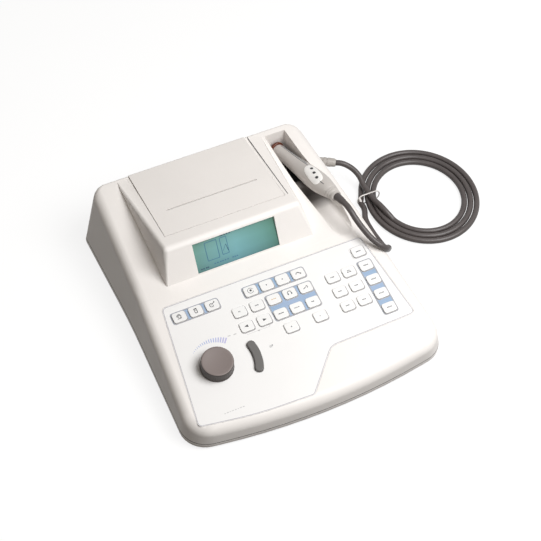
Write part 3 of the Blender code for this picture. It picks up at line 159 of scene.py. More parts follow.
class Finish(Nodes):
    """A material under construction: its nodes, its shader and short ways to join them."""

    def __init__(self, name, colour, roughness, metallic=0.0):
        self.material = bpy.data.materials.new(name)
        self.material.use_nodes = True
        super().__init__(self.material.node_tree)
        self.shader = self.tree.nodes["Principled BSDF"]
        self.colour = colour
        self.set("Base Color", (*colour, 1.0))
        self.set("Roughness", roughness)
        self.set("Metallic", metallic)
        self.place = self.node("ShaderNodeTexCoord").outputs["Object"]

    def set(self, socket, value):
        self.shader.inputs[socket].default_value = value

    def feed(self, socket, out):
        self.join(out, self.shader.inputs[socket])

    def stretched(self, scale):
        return self.node("ShaderNodeMapping", {"Scale": scale, "Vector": self.place}).outputs["Vector"]

    def parts(self, vector):
        return self.node("ShaderNodeSeparateXYZ", {"Vector": vector}).outputs

    def share(self, value, low, high):
        """Nought at the low value and one at the high one."""
        return self.node("ShaderNodeMapRange", {"From Min": low, "From Max": high, "Value": value}).outputs["Result"]

    def noise(self, scale, detail=3.0, vector=None):
        inputs = {"Scale": scale, "Detail": detail, "Roughness": noise_roughness, "Vector": vector or self.place}
        return self.node("ShaderNodeTexNoise", inputs).outputs["Fac"]

    def ramp(self, value, stops):
        made = self.node("ShaderNodeValToRGB", {"Fac": value})
        line = made.color_ramp
        while len(line.elements) < len(stops):
            line.elements.new(0.5)
        for element, (spot, colour) in zip(line.elements, stops):
            element.position = spot
            element.color = (*colour, 1.0)
        return made.outputs["Color"]

    def spread(self, value, low, high):
        """Gloss that varies between two roughnesses."""
        made = self.node("ShaderNodeMapRange", {"To Min": low, "To Max": high, "Value": value})
        self.feed("Roughness", made.outputs["Result"])

    def mottle(self, value, darker, lighter):
        """Colour that drifts a little either side of the finish's own."""
        low = tuple(part * darker for part in self.colour)
        high = tuple(min(1.0, part * lighter) for part in self.colour)
        self.feed("Base Color", self.ramp(value, ((0.3, low), (0.7, high))))

    def bump(self, value, height, strength, after=None):
        inputs = {"Distance": height, "Strength": strength, "Height": value}
        if after:
            inputs["Normal"] = after
        out = self.node("ShaderNodeBump", inputs).outputs["Normal"]
        self.feed("Normal", out)
        return out


def moulded_plastic(name, colour, roughness, grain=2600.0, depth=0.00004, drift=9.0):
    """Injection-moulded plastic: a spark-eroded grain, a slow drift of colour and of gloss."""
    finish = Finish(name, colour, roughness)
    finish.mottle(finish.noise(drift, 4.0), 0.965, 1.02)
    finish.spread(finish.noise(drift * 7, 3.0), roughness - 0.06, roughness + 0.08)
    first = finish.bump(finish.noise(grain, 2.0), depth, 0.5)
    finish.bump(finish.noise(grain * 0.12, 2.0), depth * 1.5, 0.35, first)
    finish.set("IOR", 1.5)
    return finish.material


def panel_film():
    """Polycarbonate film with a very fine orange peel under the print."""
    finish = Finish("printed panel film", (0.87, 0.865, 0.86), 0.38)
    finish.mottle(finish.noise(14.0, 2.0), 0.985, 1.01)
    finish.spread(finish.noise(60.0, 2.0), 0.33, 0.45)
    finish.bump(finish.noise(900.0, 2.0), 0.00003, 0.35)
    return finish.material


def ink_and_painted_shade(name, colour, second=None):
    """Screen-printed ink, a little uneven, that can drift to a second colour across the panel. Also the finish of the
    painted shade round the keys and along the film's edge.
    """
    finish = Finish(name, colour, 0.45)
    across = finish.noise(26.0, 1.0)
    if second:
        finish.feed("Base Color", finish.ramp(across, ((0.35, colour), (0.65, second))))
    else:
        finish.mottle(finish.noise(700.0, 2.0), 0.9, 1.08)
    finish.bump(finish.noise(2500.0, 1.0), 0.00001, 0.4)
    return finish.material


def rubber(name, colour, roughness=0.6):
    finish = Finish(name, colour, roughness)
    finish.mottle(finish.noise(120.0, 4.0), 0.85, 1.12)
    finish.spread(finish.noise(240.0, 3.0), roughness - 0.08, roughness + 0.1)
    finish.bump(finish.noise(3200.0, 3.0), 0.00004, 0.5)
    return finish.material


def jacket():
    """Cord jacket: soft PVC with faint drawing lines and a dull sheen."""
    finish = Finish("cord jacket", (0.066, 0.055, 0.053), 0.42)
    finish.mottle(finish.noise(60.0, 4.0), 0.86, 1.14)
    finish.spread(finish.noise(300.0, 3.0), 0.33, 0.48)
    finish.bump(finish.noise(1800.0, 3.0), 0.00005, 0.5)
    return finish.material


def rolled_metal(name, colour, roughness):
    """Metal sheet or bar with fine lines along one way."""
    finish = Finish(name, colour, roughness, 1.0)
    lines = finish.noise(80.0, 4.0, finish.stretched((1.0, 30.0, 30.0)))
    finish.spread(lines, roughness - 0.1, roughness + 0.15)
    finish.bump(lines, 0.00002, 0.5)
    finish.mottle(finish.noise(30.0, 3.0), 0.92, 1.03)
    return finish.material


def laminate():
    """Circuit board: solder mask over a faint weave."""
    finish = Finish("board laminate", (0.03, 0.17, 0.07), 0.35)
    weave = finish.node("ShaderNodeTexWave", {"Scale": 420.0, "Vector": finish.place})
    finish.bump(weave.outputs["Fac"], 0.00002, 0.3)
    finish.mottle(finish.noise(90.0, 5.0), 0.75, 1.2)
    return finish.material


def cradle_painted_shadow():
    """Painted shadow on the cradle's floor: near black, fading through grey to the cream of the housing toward its
    open front end.
    """
    finish = Finish("cradle painted shadow", (0.012, 0.010, 0.010), 0.9)
    along = finish.share(finish.parts(finish.place)["Y"], painted_shade_front, painted_shade_rear)
    tones = ((0.0, (0.86, 0.83, 0.805)), (0.45, (0.20, 0.18, 0.17)), (1.0, finish.colour))
    finish.feed("Base Color", finish.ramp(along, tones))
    finish.bump(finish.noise(2400.0, 4.0), 0.00008, 0.7)
    return finish.material


def thermal_paper():
    finish = Finish("thermal paper", (0.88, 0.88, 0.86), 0.75)
    finish.mottle(finish.noise(400.0, 5.0), 0.96, 1.02)
    finish.bump(finish.noise(5000.0, 3.0), 0.00002, 0.5)
    return finish.material


def display_glass(place, low, high):
    """Backlit panel behind a tinted window: blue-green, greener at the sides, darker at its foot."""
    finish = Finish("display window", (0.20, 0.44, 0.44), 0.2)
    spot, turn, _ = place.decompose()
    seat = {"Location": spot, "Rotation": turn.to_euler(), "Vector": finish.place}
    local = finish.node("ShaderNodeMapping", seat, vector_type="TEXTURE")
    parts = finish.parts(local.outputs["Vector"])
    sides = finish.ramp(finish.share(parts["X"], low.x, high.x), (
        (0.0, (0.11, 0.28, 0.235)), (0.18, (0.15, 0.355, 0.345)), (0.5, (0.17, 0.413, 0.438)),
        (0.82, (0.115, 0.31, 0.28)), (1.0, (0.06, 0.205, 0.143))))
    rise = finish.ramp(finish.share(parts["Y"], low.y, high.y), (
        (0.0, (0.52, 0.60, 0.66)), (0.3, (0.86, 0.90, 0.94)), (0.62, (1.0, 1.0, 1.0)), (1.0, (0.84, 0.84, 0.74))))
    mixed = {"Factor": 1.0, "A": sides, "B": rise}
    mix = finish.node("ShaderNodeMix", mixed, data_type="RGBA", blend_type="MULTIPLY")
    finish.feed("Base Color", mix.outputs["Result"])
    finish.set("Coat Weight", 0.6)
    finish.set("Coat Roughness", 0.08)
    finish.bump(finish.noise(1500.0, 2.0), 0.000005, 0.2)
    return finish.material


def backdrop():
    """Pale floor that looks white where it is lit and still takes the object's shadow."""
    finish = Finish("pale floor", floor_white, 0.9)
    finish.set("Specular IOR Level", 0.0)
    seen = finish.white_rays()
    tones = {"Factor": seen, "A": (*(floor_bounce * part for part in floor_warmth), 1.0), "B": (*floor_white, 1.0)}
    finish.feed("Base Color", finish.node("ShaderNodeMix", tones, data_type="RGBA").outputs["Result"])
    glow = finish.node("ShaderNodeEmission", {"Strength": floor_glow}).outputs["Emission"]
    share = finish.node("ShaderNodeMath", {0: seen, 1: floor_glow_share}, operation="MULTIPLY").outputs["Value"]
    finish.blend(share, finish.shader.outputs["BSDF"], glow, "Material Output")
    return finish.material


# Helpers for pieces


def piece(name, made, materials, body, stands_for=(), smooth=35.0, place=None):
    """Makes an object of a bmesh, taken to its place, and lets it ride on a body."""
    if place is not None:
        bmesh.ops.transform(made, matrix=place, verts=made.verts)
    mesh = bpy.data.meshes.new(name)
    made.to_mesh(mesh)
    made.free()
    mesh.shade_smooth()
    mesh.set_sharp_from_angle(angle=math.radians(smooth))
    for material in materials:
        mesh.materials.append(material)
    obj = stand(name, mesh)
    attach(obj, body)
    if stands_for:
        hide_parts(*stands_for)
    even = obj.modifiers.new("even shading", "WEIGHTED_NORMAL")
    even.keep_sharp = True
    return obj


bodies = {node: body for body, members in frame["record"]["behaviour"]["bodies"].items() for node in members}


def edges_over(made, degrees):
    limit = math.radians(degrees)
    return [edge for edge in made.edges if len(edge.link_faces) == 2 and edge.calc_face_angle() > limit]


def join_flats(made):
    """Merges a node's loose triangles, and joins those that lie in one plane."""
    bmesh.ops.remove_doubles(made, verts=made.verts, dist=node_merge)
    bmesh.ops.dissolve_limit(made, angle_limit=flat_angle, verts=made.verts, edges=made.edges)


def edges_at(edges, height):
    """Those of the edges that lie at a height."""
    return [edge for edge in edges if all(abs(vert.co.z - height) < piece_merge for vert in edge.verts)]


def soften(made, edges, width, steps, clamp=False):
    bmesh.ops.bevel(
        made, geom=edges, offset=width, segments=steps, profile=0.5, affect="EDGES", clamp_overlap=clamp, material=-1)


def finished_copy(node, materials, edge=0.0, smooth=38.0):
    """A copy of a node with its flat triangles joined and its sharp edges broken."""
    made = bmesh.new()
    made.from_mesh(nodes[node].data)
    join_flats(made)
    if edge:
        soften(made, edges_over(made, sharp_angle), edge, 2, clamp=True)
    return piece(node + "_finished", made, materials, bodies[node], (node,), smooth)


def add_block(made, low, high, place=None):
    """Adds a box to a bmesh and gives back its vertices."""
    low, high = Vector(low), Vector(high)
    verts = bmesh.ops.create_cube(made, size=1.0)["verts"]
    bmesh.ops.scale(made, vec=high - low, verts=verts)
    bmesh.ops.translate(made, vec=(low + high) / 2, verts=verts)
    if place is not None:
        bmesh.ops.transform(made, matrix=place, verts=verts)
    return verts


def faces_of(verts):
    return list({face for vert in verts for face in vert.link_faces})


def edges_of(verts):
    return list({edge for vert in verts for edge in vert.link_edges})


def paint(faces, number):
    for face in faces:
        face.material_index = number


def soft_block(made, low, high, corner, rim=0.0):
    """A block whose upright edges are rounded, then the rim at its top."""
    block = edges_of(add_block(made, low, high))
    soften(made, [edge for edge in block if abs(edge.verts[0].co.z - edge.verts[1].co.z) > piece_merge], corner, 4)
    if rim:
        soften(made, edges_at(made.edges, high[2]), rim, 3)


def bar(made, start, end, width, height, material=0, foot=0.0):
    """A flat printed bar from start to end, in the panel's own plane."""
    start, end = Vector(start), Vector(end)
    run = end - start
    turn = Matrix.Translation((*((start + end) / 2), foot)) @ Matrix.Rotation(math.atan2(run.y, run.x), 4, "Z")
    verts = add_block(made, (-run.length / 2, -width / 2, 0), (run.length / 2, width / 2, height), turn)
    paint(faces_of(verts), material)


def dot(made, centre, radius, height, material=0, foot=0.0, sides=16):
    verts = bmesh.ops.create_cone(
        made, cap_ends=True, segments=sides, radius1=radius, radius2=radius, depth=height
    )["verts"]
    bmesh.ops.translate(made, vec=(centre[0], centre[1], foot + height / 2), verts=verts)
    paint(faces_of(verts), material)
    return verts


def bow(made, centre, radius, width, start, end, height, material=0, foot=0.0, steps=12):
    """A flat printed arc: a short bar's end face spun round a centre."""
    centre = Vector((centre[0], centre[1], foot))
    first = Vector((math.cos(math.radians(start)), math.sin(math.radians(start)), 0))
    before = set(made.verts)
    corners = []
    for reach, level in ((-0.5, 0.0), (0.5, 0.0), (0.5, 1.0), (-0.5, 1.0)):
        corners.append(made.verts.new(centre + first * (radius + reach * width) + Vector((0, 0, level * height))))
    face = made.faces.new(corners)
    bmesh.ops.spin(
        made, geom=[face, *face.edges, *corners], cent=centre, axis=(0, 0, 1),
        angle=math.radians(end - start), steps=steps,
    )
    faces = faces_of(vert for vert in made.verts if vert not in before)
    bmesh.ops.recalc_face_normals(made, faces=faces)
    paint(faces, material)


def raise_faces(made, faces, height):
    """Gives flat faces a thickness, straight up."""
    raised = bmesh.ops.extrude_face_region(made, geom=faces)["geom"]
    top = [item for item in raised if isinstance(item, bmesh.types.BMVert)]
    bmesh.ops.translate(made, vec=(0, 0, height), verts=top)


def arc(centre, radius, start, end, steps, with_ends=True):
    """Places along an arc, from a start angle to an end angle in degrees."""
    skipped = 0 if with_ends else 1
    places = []
    for step in range(skipped, steps + 1 - skipped):
        angle = math.radians(start + (end - start) * step / steps)
        places.append((centre[0] + radius * math.cos(angle), centre[1] + radius * math.sin(angle)))
    return places


def rounded_outline(left, right, foot, head, corner, steps):
    """Places round a rectangle with rounded corners."""
    places = []
    for x, y, start in ((right - corner, head - corner, 0), (left + corner, head - corner, 90),
                        (left + corner, foot + corner, 180), (right - corner, foot + corner, 270)):
        places += arc((x, y), corner, start, start + 90, steps)
    return places


def face_outward(made):
    bmesh.ops.recalc_face_normals(made, faces=made.faces)


def merge(made):
    bmesh.ops.remove_doubles(made, verts=made.verts, dist=piece_merge)
    face_outward(made)


def turned(profile, steps=40):
    """A turned piece about Z: its profile gives radius and reach in millimetres."""
    made = bmesh.new()
    line = [made.verts.new((radius * MM, 0, reach * MM)) for radius, reach in profile]
    edges = [made.edges.new(pair) for pair in zip(line, line[1:])]
    bmesh.ops.spin(
        made, geom=[*line, *edges], cent=(0, 0, 0), axis=(0, 0, 1), angle=2 * math.pi, steps=steps, use_merge=True,
    )
    merge(made)
    return made


def drawn_mesh(obj):
    """The mesh that an object comes to with its modifiers, or a line with its thickness."""
    bpy.context.view_layer.update()
    return bpy.data.meshes.new_from_object(obj.evaluated_get(bpy.context.evaluated_depsgraph_get()))


def wires(runs, radius, roundness):
    """Round wires along runs of places, each open or closed, as one bmesh."""
    made = bmesh.new()
    for places, closed in runs:
        data = bpy.data.curves.new("wire", "CURVE")
        data.dimensions = "3D"
        data.bevel_depth = radius
        data.bevel_resolution = roundness
        data.use_fill_caps = True
        line = data.splines.new("POLY")
        line.use_cyclic_u = closed
        line.points.add(len(places) - 1)
        for spot, point in zip(places, line.points):
            point.co = (*spot, 1.0)
        drawn = stand("wire", data)
        mesh = drawn_mesh(drawn)
        bpy.data.objects.remove(drawn)
        made.from_mesh(mesh)
        bpy.data.meshes.remove(mesh)
    merge(made)
    return made


# Finishes of this object

# Where the cradle's painted shadow fades from the housing's cream to near black, along Y
painted_shade_front = 54.0 * MM
painted_shade_rear = 92.0 * MM

housing_cream = moulded_plastic("cream housing", (0.88, 0.85, 0.825), 0.46)
base_grey = moulded_plastic("base pan plastic", (0.80, 0.77, 0.74), 0.5)
film_white = panel_film()
key_white = moulded_plastic("key cap plastic", (0.87, 0.87, 0.865), 0.36, grain=3600.0, depth=0.00002)
# The control's top: its dark grip plastic made about four times lighter, a painted sheen
knob_top_painted_sheen = moulded_plastic("control plastic", (0.20, 0.165, 0.155), 0.48, grain=1800.0, depth=0.00005)
knob_grip = moulded_plastic("control grip plastic", (0.048, 0.039, 0.036), 0.5, grain=1800.0, depth=0.00005)
bar_grey = moulded_plastic("present bar plastic", (0.115, 0.11, 0.105), 0.5, grain=1500.0, depth=0.00008)
ink_blue = ink_and_painted_shade("blue print", (0.28, 0.41, 0.58), (0.33, 0.43, 0.60))
ink_grey = ink_and_painted_shade("grey print", (0.10, 0.11, 0.125))
ink_pale = ink_and_painted_shade("pale grey print", (0.60, 0.60, 0.60))
ink_dark = ink_and_painted_shade("dark print", (0.06, 0.06, 0.065))
ink_amber = ink_and_painted_shade("amber print", (0.62, 0.40, 0.16))
# Painted shade round the keys, laid on as a grey print
key_shadow_paint = ink_and_painted_shade("key outline print", (0.41, 0.40, 0.41))
# Painted shade along the film's edge, laid on as a grey print
film_edge_shade_paint = ink_and_painted_shade("painted film edge shade", (0.48, 0.47, 0.51))
ink_border = ink_and_painted_shade("field border print", (0.34, 0.36, 0.41))
ink_lilac = ink_and_painted_shade("lilac print", (0.42, 0.50, 0.74), (0.56, 0.50, 0.74))
probe_grey = moulded_plastic("probe plastic", (0.54, 0.51, 0.485), 0.4)
probe_white = moulded_plastic("probe face plastic", (0.95, 0.94, 0.92), 0.35)
cuff_red = rubber("probe cuff rubber", (0.10, 0.021, 0.006), 0.4)
plug_grey = moulded_plastic("plug plastic", (0.41, 0.385, 0.36), 0.42)
cord_jacket = jacket()
tie_white = moulded_plastic("tie plastic", (0.74, 0.71, 0.69), 0.45)
foot_rubber = rubber("foot rubber", (0.035, 0.035, 0.035), 0.7)
roller_rubber = rubber("roller rubber", (0.03, 0.03, 0.032), 0.6)
frame_black = moulded_plastic("printer frame plastic", (0.035, 0.035, 0.037), 0.5)
inlet_black = moulded_plastic("inlet plastic", (0.02, 0.02, 0.02), 0.38)
zinc = rolled_metal("zinc plated steel", (0.62, 0.62, 0.60), 0.32)
frame_steel = rolled_metal("display frame steel", (0.55, 0.55, 0.55), 0.4)
board_green = laminate()
joint_dark = moulded_plastic("joint shade", (0.07, 0.062, 0.058), 0.6)
roll_paper = thermal_paper()

# Case and inner works: node, finish, broken edge in millimetres and slot

case_pieces = (
    ("base_pan", base_grey, 0.5, "base"), ("printer_door", housing_cream, 0.5, "housing"),
    ("keypad_overlay", film_white, 0.0, "panel_film"),
    *((foot, foot_rubber, 0.4, "foot_rubber") for foot in nodes if foot.startswith("foot_")),
)
inner_works = (
    ("printer_frame", frame_black, 0.3, "printer_plastic"), ("platen_roller", roller_rubber, 0.0, "roller_rubber"),
    ("print_head", zinc, 0.3, "zinc"), ("paper_roll", roll_paper, 0.2, "thermal_paper"),
    ("display_module", frame_steel, 0.0, "steel"), ("key_board", board_green, 0.0, "laminate"),
    ("main_board", board_green, 0.0, "laminate"), ("pressure_pump", zinc, 0.3, "zinc"),
    ("power_inlet", inlet_black, 0.3, "inlet_plastic"), ("power_switch", inlet_black, 0.3, "inlet_plastic"),
    ("probe_socket", plug_grey, 0.3, "plug_plastic"),
)

# Where the painted shadow lies in the cradle, in millimetres
cradle_sides = (84.0, 116.0)
painted_shade_reach = 30.0
painted_shade_top = 56.0
painted_shade_facing = 0.7
rest_ends = (78.0, 92.0)
rest_top = 72.0

door_seam_aside = 0.9 * MM
door_seam_stop = 2.0 * MM
door_seam_lift = 0.02 * MM
door_seam_width = 0.8 * MM
door_seam_half_height = 0.02 * MM
door_seam_rim = 0.015 * MM
joint_lift = 2.4 * MM
joint_width = 0.8 * MM
joint_proud = 0.05 * MM
joint_facing = 0.05
joint_inner = 140.0 * MM


def dress_shell():
    """The moulded shell, with painted shadow on its cradle's floor and on the rest under the probe, where the probe's
    shade falls.
    """
    shell = finished_copy("top_shell", [housing_cream, cradle_painted_shadow()], 0.35 * MM, 35.0)
    for face in shell.data.polygons:
        x, y, z = (part / MM for part in face.center)
        floor = face.normal.z > painted_shade_facing and z < painted_shade_top and y > painted_shade_reach
        rest = rest_ends[0] < y < rest_ends[1] and z < rest_top
        if cradle_sides[0] < x < cradle_sides[1] and (floor or rest):
            face.material_index = 1


def dress(pieces):
    for node, finish, edge, slot in pieces:
        finished_copy(node, [finish], edge * MM)


def top_of(node, x, y):
    """How high a node's upper surface lies at a place."""
    solid = bmesh.new()
    solid.from_mesh(nodes[node].data)
    spot = BVHTree.FromBMesh(solid).ray_cast(Vector((x, y, above_all)), Vector((0, 0, -1)))[0]
    solid.free()
    return spot.z


def draw_door_seam():
    """The dark joint down the lid's right side, on the case's edge."""
    low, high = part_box("printer_door")
    made = bmesh.new()
    front, rear = (Vector((high.x + door_seam_aside, y, 0)) for y in (low.y, high.y - door_seam_stop))
    for spot in (front, rear):
        spot.z = top_of("top_shell", spot.x, spot.y) + door_seam_lift
    run = rear - front
    turn = Matrix.Translation((front + rear) / 2) @ run.to_track_quat("Y", "Z").to_matrix().to_4x4()
    half = Vector((door_seam_width / 2, run.length / 2, door_seam_half_height))
    verts = add_block(made, -half, half, turn)
    soften(made, edges_of(verts), door_seam_rim, 2)
    piece("door_seam", made, [ink_dark], "case")


def draw_base_joint():
    """The dark joint round the case, where the shell's wall meets the base pan."""
    made = bmesh.new()
    made.from_mesh(nodes["top_shell"].data)
    bmesh.ops.remove_doubles(made, verts=made.verts, dist=node_merge)
    foot = min(vert.co.z for vert in made.verts) + joint_lift
    for level, way in ((foot + joint_width, 1), (foot, -1)):
        bmesh.ops.bisect_plane(
            made, geom=[*made.verts, *made.edges, *made.faces], plane_co=(0, 0, level), plane_no=(0, 0, way),
            clear_outer=True)
    inward = []
    for face in made.faces:
        spot, out = face.calc_center_median(), face.normal
        if spot.x * out.x + spot.y * out.y < joint_facing or max(abs(spot.x), abs(spot.y)) < joint_inner:
            inward.append(face)
    bmesh.ops.delete(made, geom=inward, context="FACES")
    made.normal_update()
    for vert in made.verts:
        vert.co += vert.normal * joint_proud
    bmesh.ops.solidify(made, geom=list(made.faces), thickness=joint_proud)
    face_outward(made)
    piece("base_joint", made, [joint_dark], "case")


dress_shell()
dress(case_pieces)
draw_door_seam()
draw_base_joint()
dress(inner_works)

# Display


def window_place():
    """The window's front face as a plane: x across, y up it, z out of it."""
    mesh = nodes["display_lens"].data
    front = max(mesh.polygons, key=lambda face: face.area if face.normal.y < -0.5 else 0)
    out = front.normal.normalized()
    across = Vector((1, 0, 0))
    turn = Matrix((across, out.cross(across), out)).transposed().to_4x4()
    return Matrix.Translation(mesh.vertices[front.vertices[0]].co) @ turn


def window_size(place):
    """The window's lowest and highest corner in its own plane."""
    local = [place.inverted() @ vert.co for vert in nodes["display_lens"].data.vertices]
    return [Vector((pick(spot.x for spot in local), pick(spot.y for spot in local), 0)) for pick in (min, max)]


display_place = window_place()
display_low, display_high = window_size(display_place)
finished_copy("display_lens", [display_glass(display_place, display_low, display_high)])

# The screen's frames (left, foot, right, head, line), slanted lines and rows of marks, in shares of the window
# and the lines' widths in millimetres
screen_ink_height = 0.03 * MM
screen_frames = ((0.16, 0.30, 0.295, 0.84, 0.7), (0.335, 0.34, 0.41, 0.84, 0.65))
screen_lines = (((0.35, 0.45), (0.39, 0.62), 0.5, 1), ((0.39, 0.62), (0.405, 0.42), 0.6, 0))
screen_rows = (
    (0.90, 0.016, 1.3, 0, (0.345, 0.365, 0.39, 0.42, 0.45)),
    (0.13, 0.017, 1.4, 0, (0.06, 0.085, 0.115, 0.135)),
    (0.17, 0.018, 1.2, 1, (0.22, 0.25, 0.285, 0.31, 0.34, 0.37, 0.43, 0.455, 0.48)),
)


def draw_screen():
    """What the screen shows: an empty plot, a second one beside it and rows of small marks."""
    size = display_high - display_low
    ink = ink_and_painted_shade("screen ink", (0.01, 0.05, 0.10))
    faint = ink_and_painted_shade("faint screen ink", (0.03, 0.13, 0.24))
    made = bmesh.new()

    def line(start, end, width, material):
        ends = [(display_low.x + size.x * across, display_low.y + size.y * up) for across, up in (start, end)]
        bar(made, *ends, width * MM, screen_ink_height, material)

    for left, foot, right, head, width in screen_frames:
        corners = ((left, foot), (right, foot), (right, head), (left, head), (left, foot))
        for start, end in zip(corners, corners[1:]):
            line(start, end, width, 1)
    for start, end, width, material in screen_lines:
        line(start, end, width, material)
    for up, length, width, material, starts in screen_rows:
        for start in starts:
            line((start, up), (start + length, up), width, material)
    piece("screen_marks", made, [ink, faint], "case", place=display_place)


draw_screen()

# Keys: soft white caps, each with its own small sign

key_size = (15.0 * MM, 12.0 * MM)
key_rise = 1.6 * MM
cap_foot = -3.3 * MM
cap_corner = 2.6 * MM
sign_thickness = 0.04 * MM
arrow_radius = 2.4 * MM
arrow_shape = (1.2, 0.8, 1.0)
cap_rim = 0.7 * MM
dash_gap = 0.45

# A cap's materials, in this order
dark, grey, amber, cap = range(4)

# Signs on the caps in millimetres. bow: centre, radius, line, start and end angle. bar: start, end, line.
# dot: centre, radius. row: start, level, line, dashes. arrow: way. Each ends with its ink.
plain_sign = (("row", -2.3, 0, 1.2, 1.0, 0.9, 1.3, grey),)
store_sign = (("row", -2.7, 0, 1.35, 1.1, 1.2, 0.9, 1.0, grey),)
small_dot = (("dot", 0, 0, 0.75, grey),)
signs = {
    "key_mode_1": (
        ("bow", -0.2, 0.5, 2.2, 0.78, -30, 200, dark), ("bow", -0.2, 0.5, 1.1, 0.78, 0, 270, dark),
        ("bar", -2.6, -2.2, 2.2, -2.2, 0.78, dark), ("bar", 1.7, -0.6, 0.6, -2.2, 0.78, dark)),
    "key_mode_2": (
        ("bar", -1.7, 2.3, 1.7, 2.3, 1.3, dark), ("bar", -1.3, 1.9, -1.3, -2.6, 0.7, dark),
        ("bar", 1.3, 1.9, 1.3, -2.6, 0.7, dark), ("bar", -1.5, -2.6, 1.5, -2.6, 0.7, dark),
        ("bar", -0.6, 0.4, 0.6, 0.4, 0.62, dark)),
    "key_mode_3": (
        ("bow", -0.6, -0.4, 2.1, 0.7, 60, 350, dark), ("bar", -0.6, -0.4, 2.9, 2.4, 0.62, dark),
        ("dot", 3.1, 2.5, 0.8, dark)),
    "key_test_1": (("bow", 0, 0, 3.2, 0.54, 20, 340, grey), ("dot", 0.2, 0.2, 1.3, dark)),
    "key_test_2": small_dot,
    "key_test_3": small_dot,
    "key_test_4": (
        ("dot", -2.6, -0.4, 0.45, dark), ("dot", -1.4, 0.9, 0.5, dark), ("dot", 0.0, 1.1, 0.6, dark),
        ("dot", 1.3, 0.2, 0.7, dark), ("dot", 2.6, -0.9, 0.8, dark),
        ("bow", -0.4, -1.6, 2.6, 0.62, 30, 150, grey)),
    "key_page_1": small_dot,
    "key_page_2": (("dot", -0.5, 0, 0.45, grey),),
    "key_set_1": (("row", -2.9, 0, 0.75, 1.7, 1.1, 1.9, amber),),
    "key_set_2": (
        ("bow", 0, 0.4, 2.2, 0.7, 10, 170, dark), ("bar", -2.0, 0.4, -2.0, -1.8, 1.4, grey),
        ("bar", 2.0, 0.4, 2.0, -1.8, 1.4, grey)),
    "key_set_3": (
        ("bar", -3.0, -1.4, 1.2, 0.6, 0.7, grey), ("bow", 1.0, 0.2, 1.5, 0.7, -60, 80, dark),
        ("dot", -1.0, -0.6, 0.6, grey)),
    "key_set_4": (("row", -3.0, 0, 1.25, 2.1, 1.3, 1.7, dark),),
    "key_set_5": (("row", -3.2, 0, 0.9, 1.0, 1.2, 1.1, 1.3, grey),),
    "key_set_6": (("row", -1.6, 0, 1.35, 1.2, 1.3, grey),),
    "key_step_1": (("row", -1.2, 0, 1.35, 0.8, 0.7, grey),),
    "key_step_3": (("arrow", -1, dark),),
    "key_step_4": (("arrow", 1, dark),),
    "key_select_2": (("row", -1.6, 0.9, 1.1, 1.2, 1.3, grey), ("row", -2.4, -0.9, 1.1, 1.3, 1.0, 1.5, grey)),
    **{f"key_store_{number}": store_sign for number in range(1, 6)},
}


def draw_sign(made, kind, *sizes, ink):
    """One stroke of a cap's sign."""
    if kind == "bow":
        x, y, radius, line, start, end = sizes
        bow(made, (x * MM, y * MM), radius * MM, line * MM, start, end, sign_thickness, ink, key_rise)
    elif kind == "bar":
        from_x, from_y, to_x, to_y, line = (size * MM for size in sizes)
        bar(made, (from_x, from_y), (to_x, to_y), line, sign_thickness, ink, key_rise)
    elif kind == "dot":
        x, y, radius = (size * MM for size in sizes)
        dot(made, (x, y), radius, sign_thickness, ink, key_rise)
    elif kind == "row":
        start, level, line, *dashes = sizes
        for dash in dashes:
            draw_sign(made, "bar", start, level, start + dash, level, line, ink=ink)
            start += dash + dash_gap
    else:
        verts = dot(made, (0, 0), arrow_radius, sign_thickness, ink, key_rise, 3)
        turn = Matrix.Rotation(math.radians(-90 * sizes[0]), 4, "Z")
        bmesh.ops.transform(made, matrix=turn, verts=verts)
        bmesh.ops.scale(made, vec=arrow_shape, verts=verts)


def dress_key(key):
    centre = panel_place(middle_of(key))
    made = bmesh.new()
    half_w, half_d = key_size[0] / 2, key_size[1] / 2
    soft_block(made, (-half_w, -half_d, cap_foot), (half_w, half_d, key_rise), cap_corner, cap_rim)
    paint(made.faces, cap)
    for *stroke, ink in signs.get(key, plain_sign):
        draw_sign(made, *stroke, ink=ink)
    inks = [ink_dark, ink_grey, ink_amber, key_white]
    piece(key + "_cap", made, inks, key, (key,), 30.0, on_panel(centre.x, centre.y))


key_names = sorted(name for name in nodes if name.startswith("key_") and name != "key_board")
for key in key_names:
    dress_key(key)

# Print on the panel film, with painted shade round the keys and along the film's edge

print_lift = 0.02 * MM
print_thickness = 0.05 * MM
key_gap = 0.35 * MM
cut_depth = 1.0 * MM
corner_steps = 5
field_corner = 3.2 * MM
# Painted shade round the keys: its width, the extra at their foot and right, and its height
key_shadow_width = 0.12 * MM
key_shadow_heavy = 0.85 * MM
key_shadow_height = 0.09 * MM
film_rim_angle = 45.0
film_line_inset = 0.5 * MM
film_line_width = 0.7 * MM
on_film = on_panel(0, 0, print_lift)


def key_spot(key):
    spot = panel_place(middle_of(key))
    return Vector((spot.x, spot.y))


def print_block(left, right, foot, head, border):
    """A printed field with a border line."""
    made = bmesh.new()
    soft_block(made, (left, foot, 0), (right, head, print_thickness), field_corner)
    paint(made.faces, 1)
    top = [face for face in made.faces if face.normal.z > facing_up]
    bmesh.ops.inset_region(made, faces=top, thickness=border, use_even_offset=True)
    paint(top, 0)
    return made


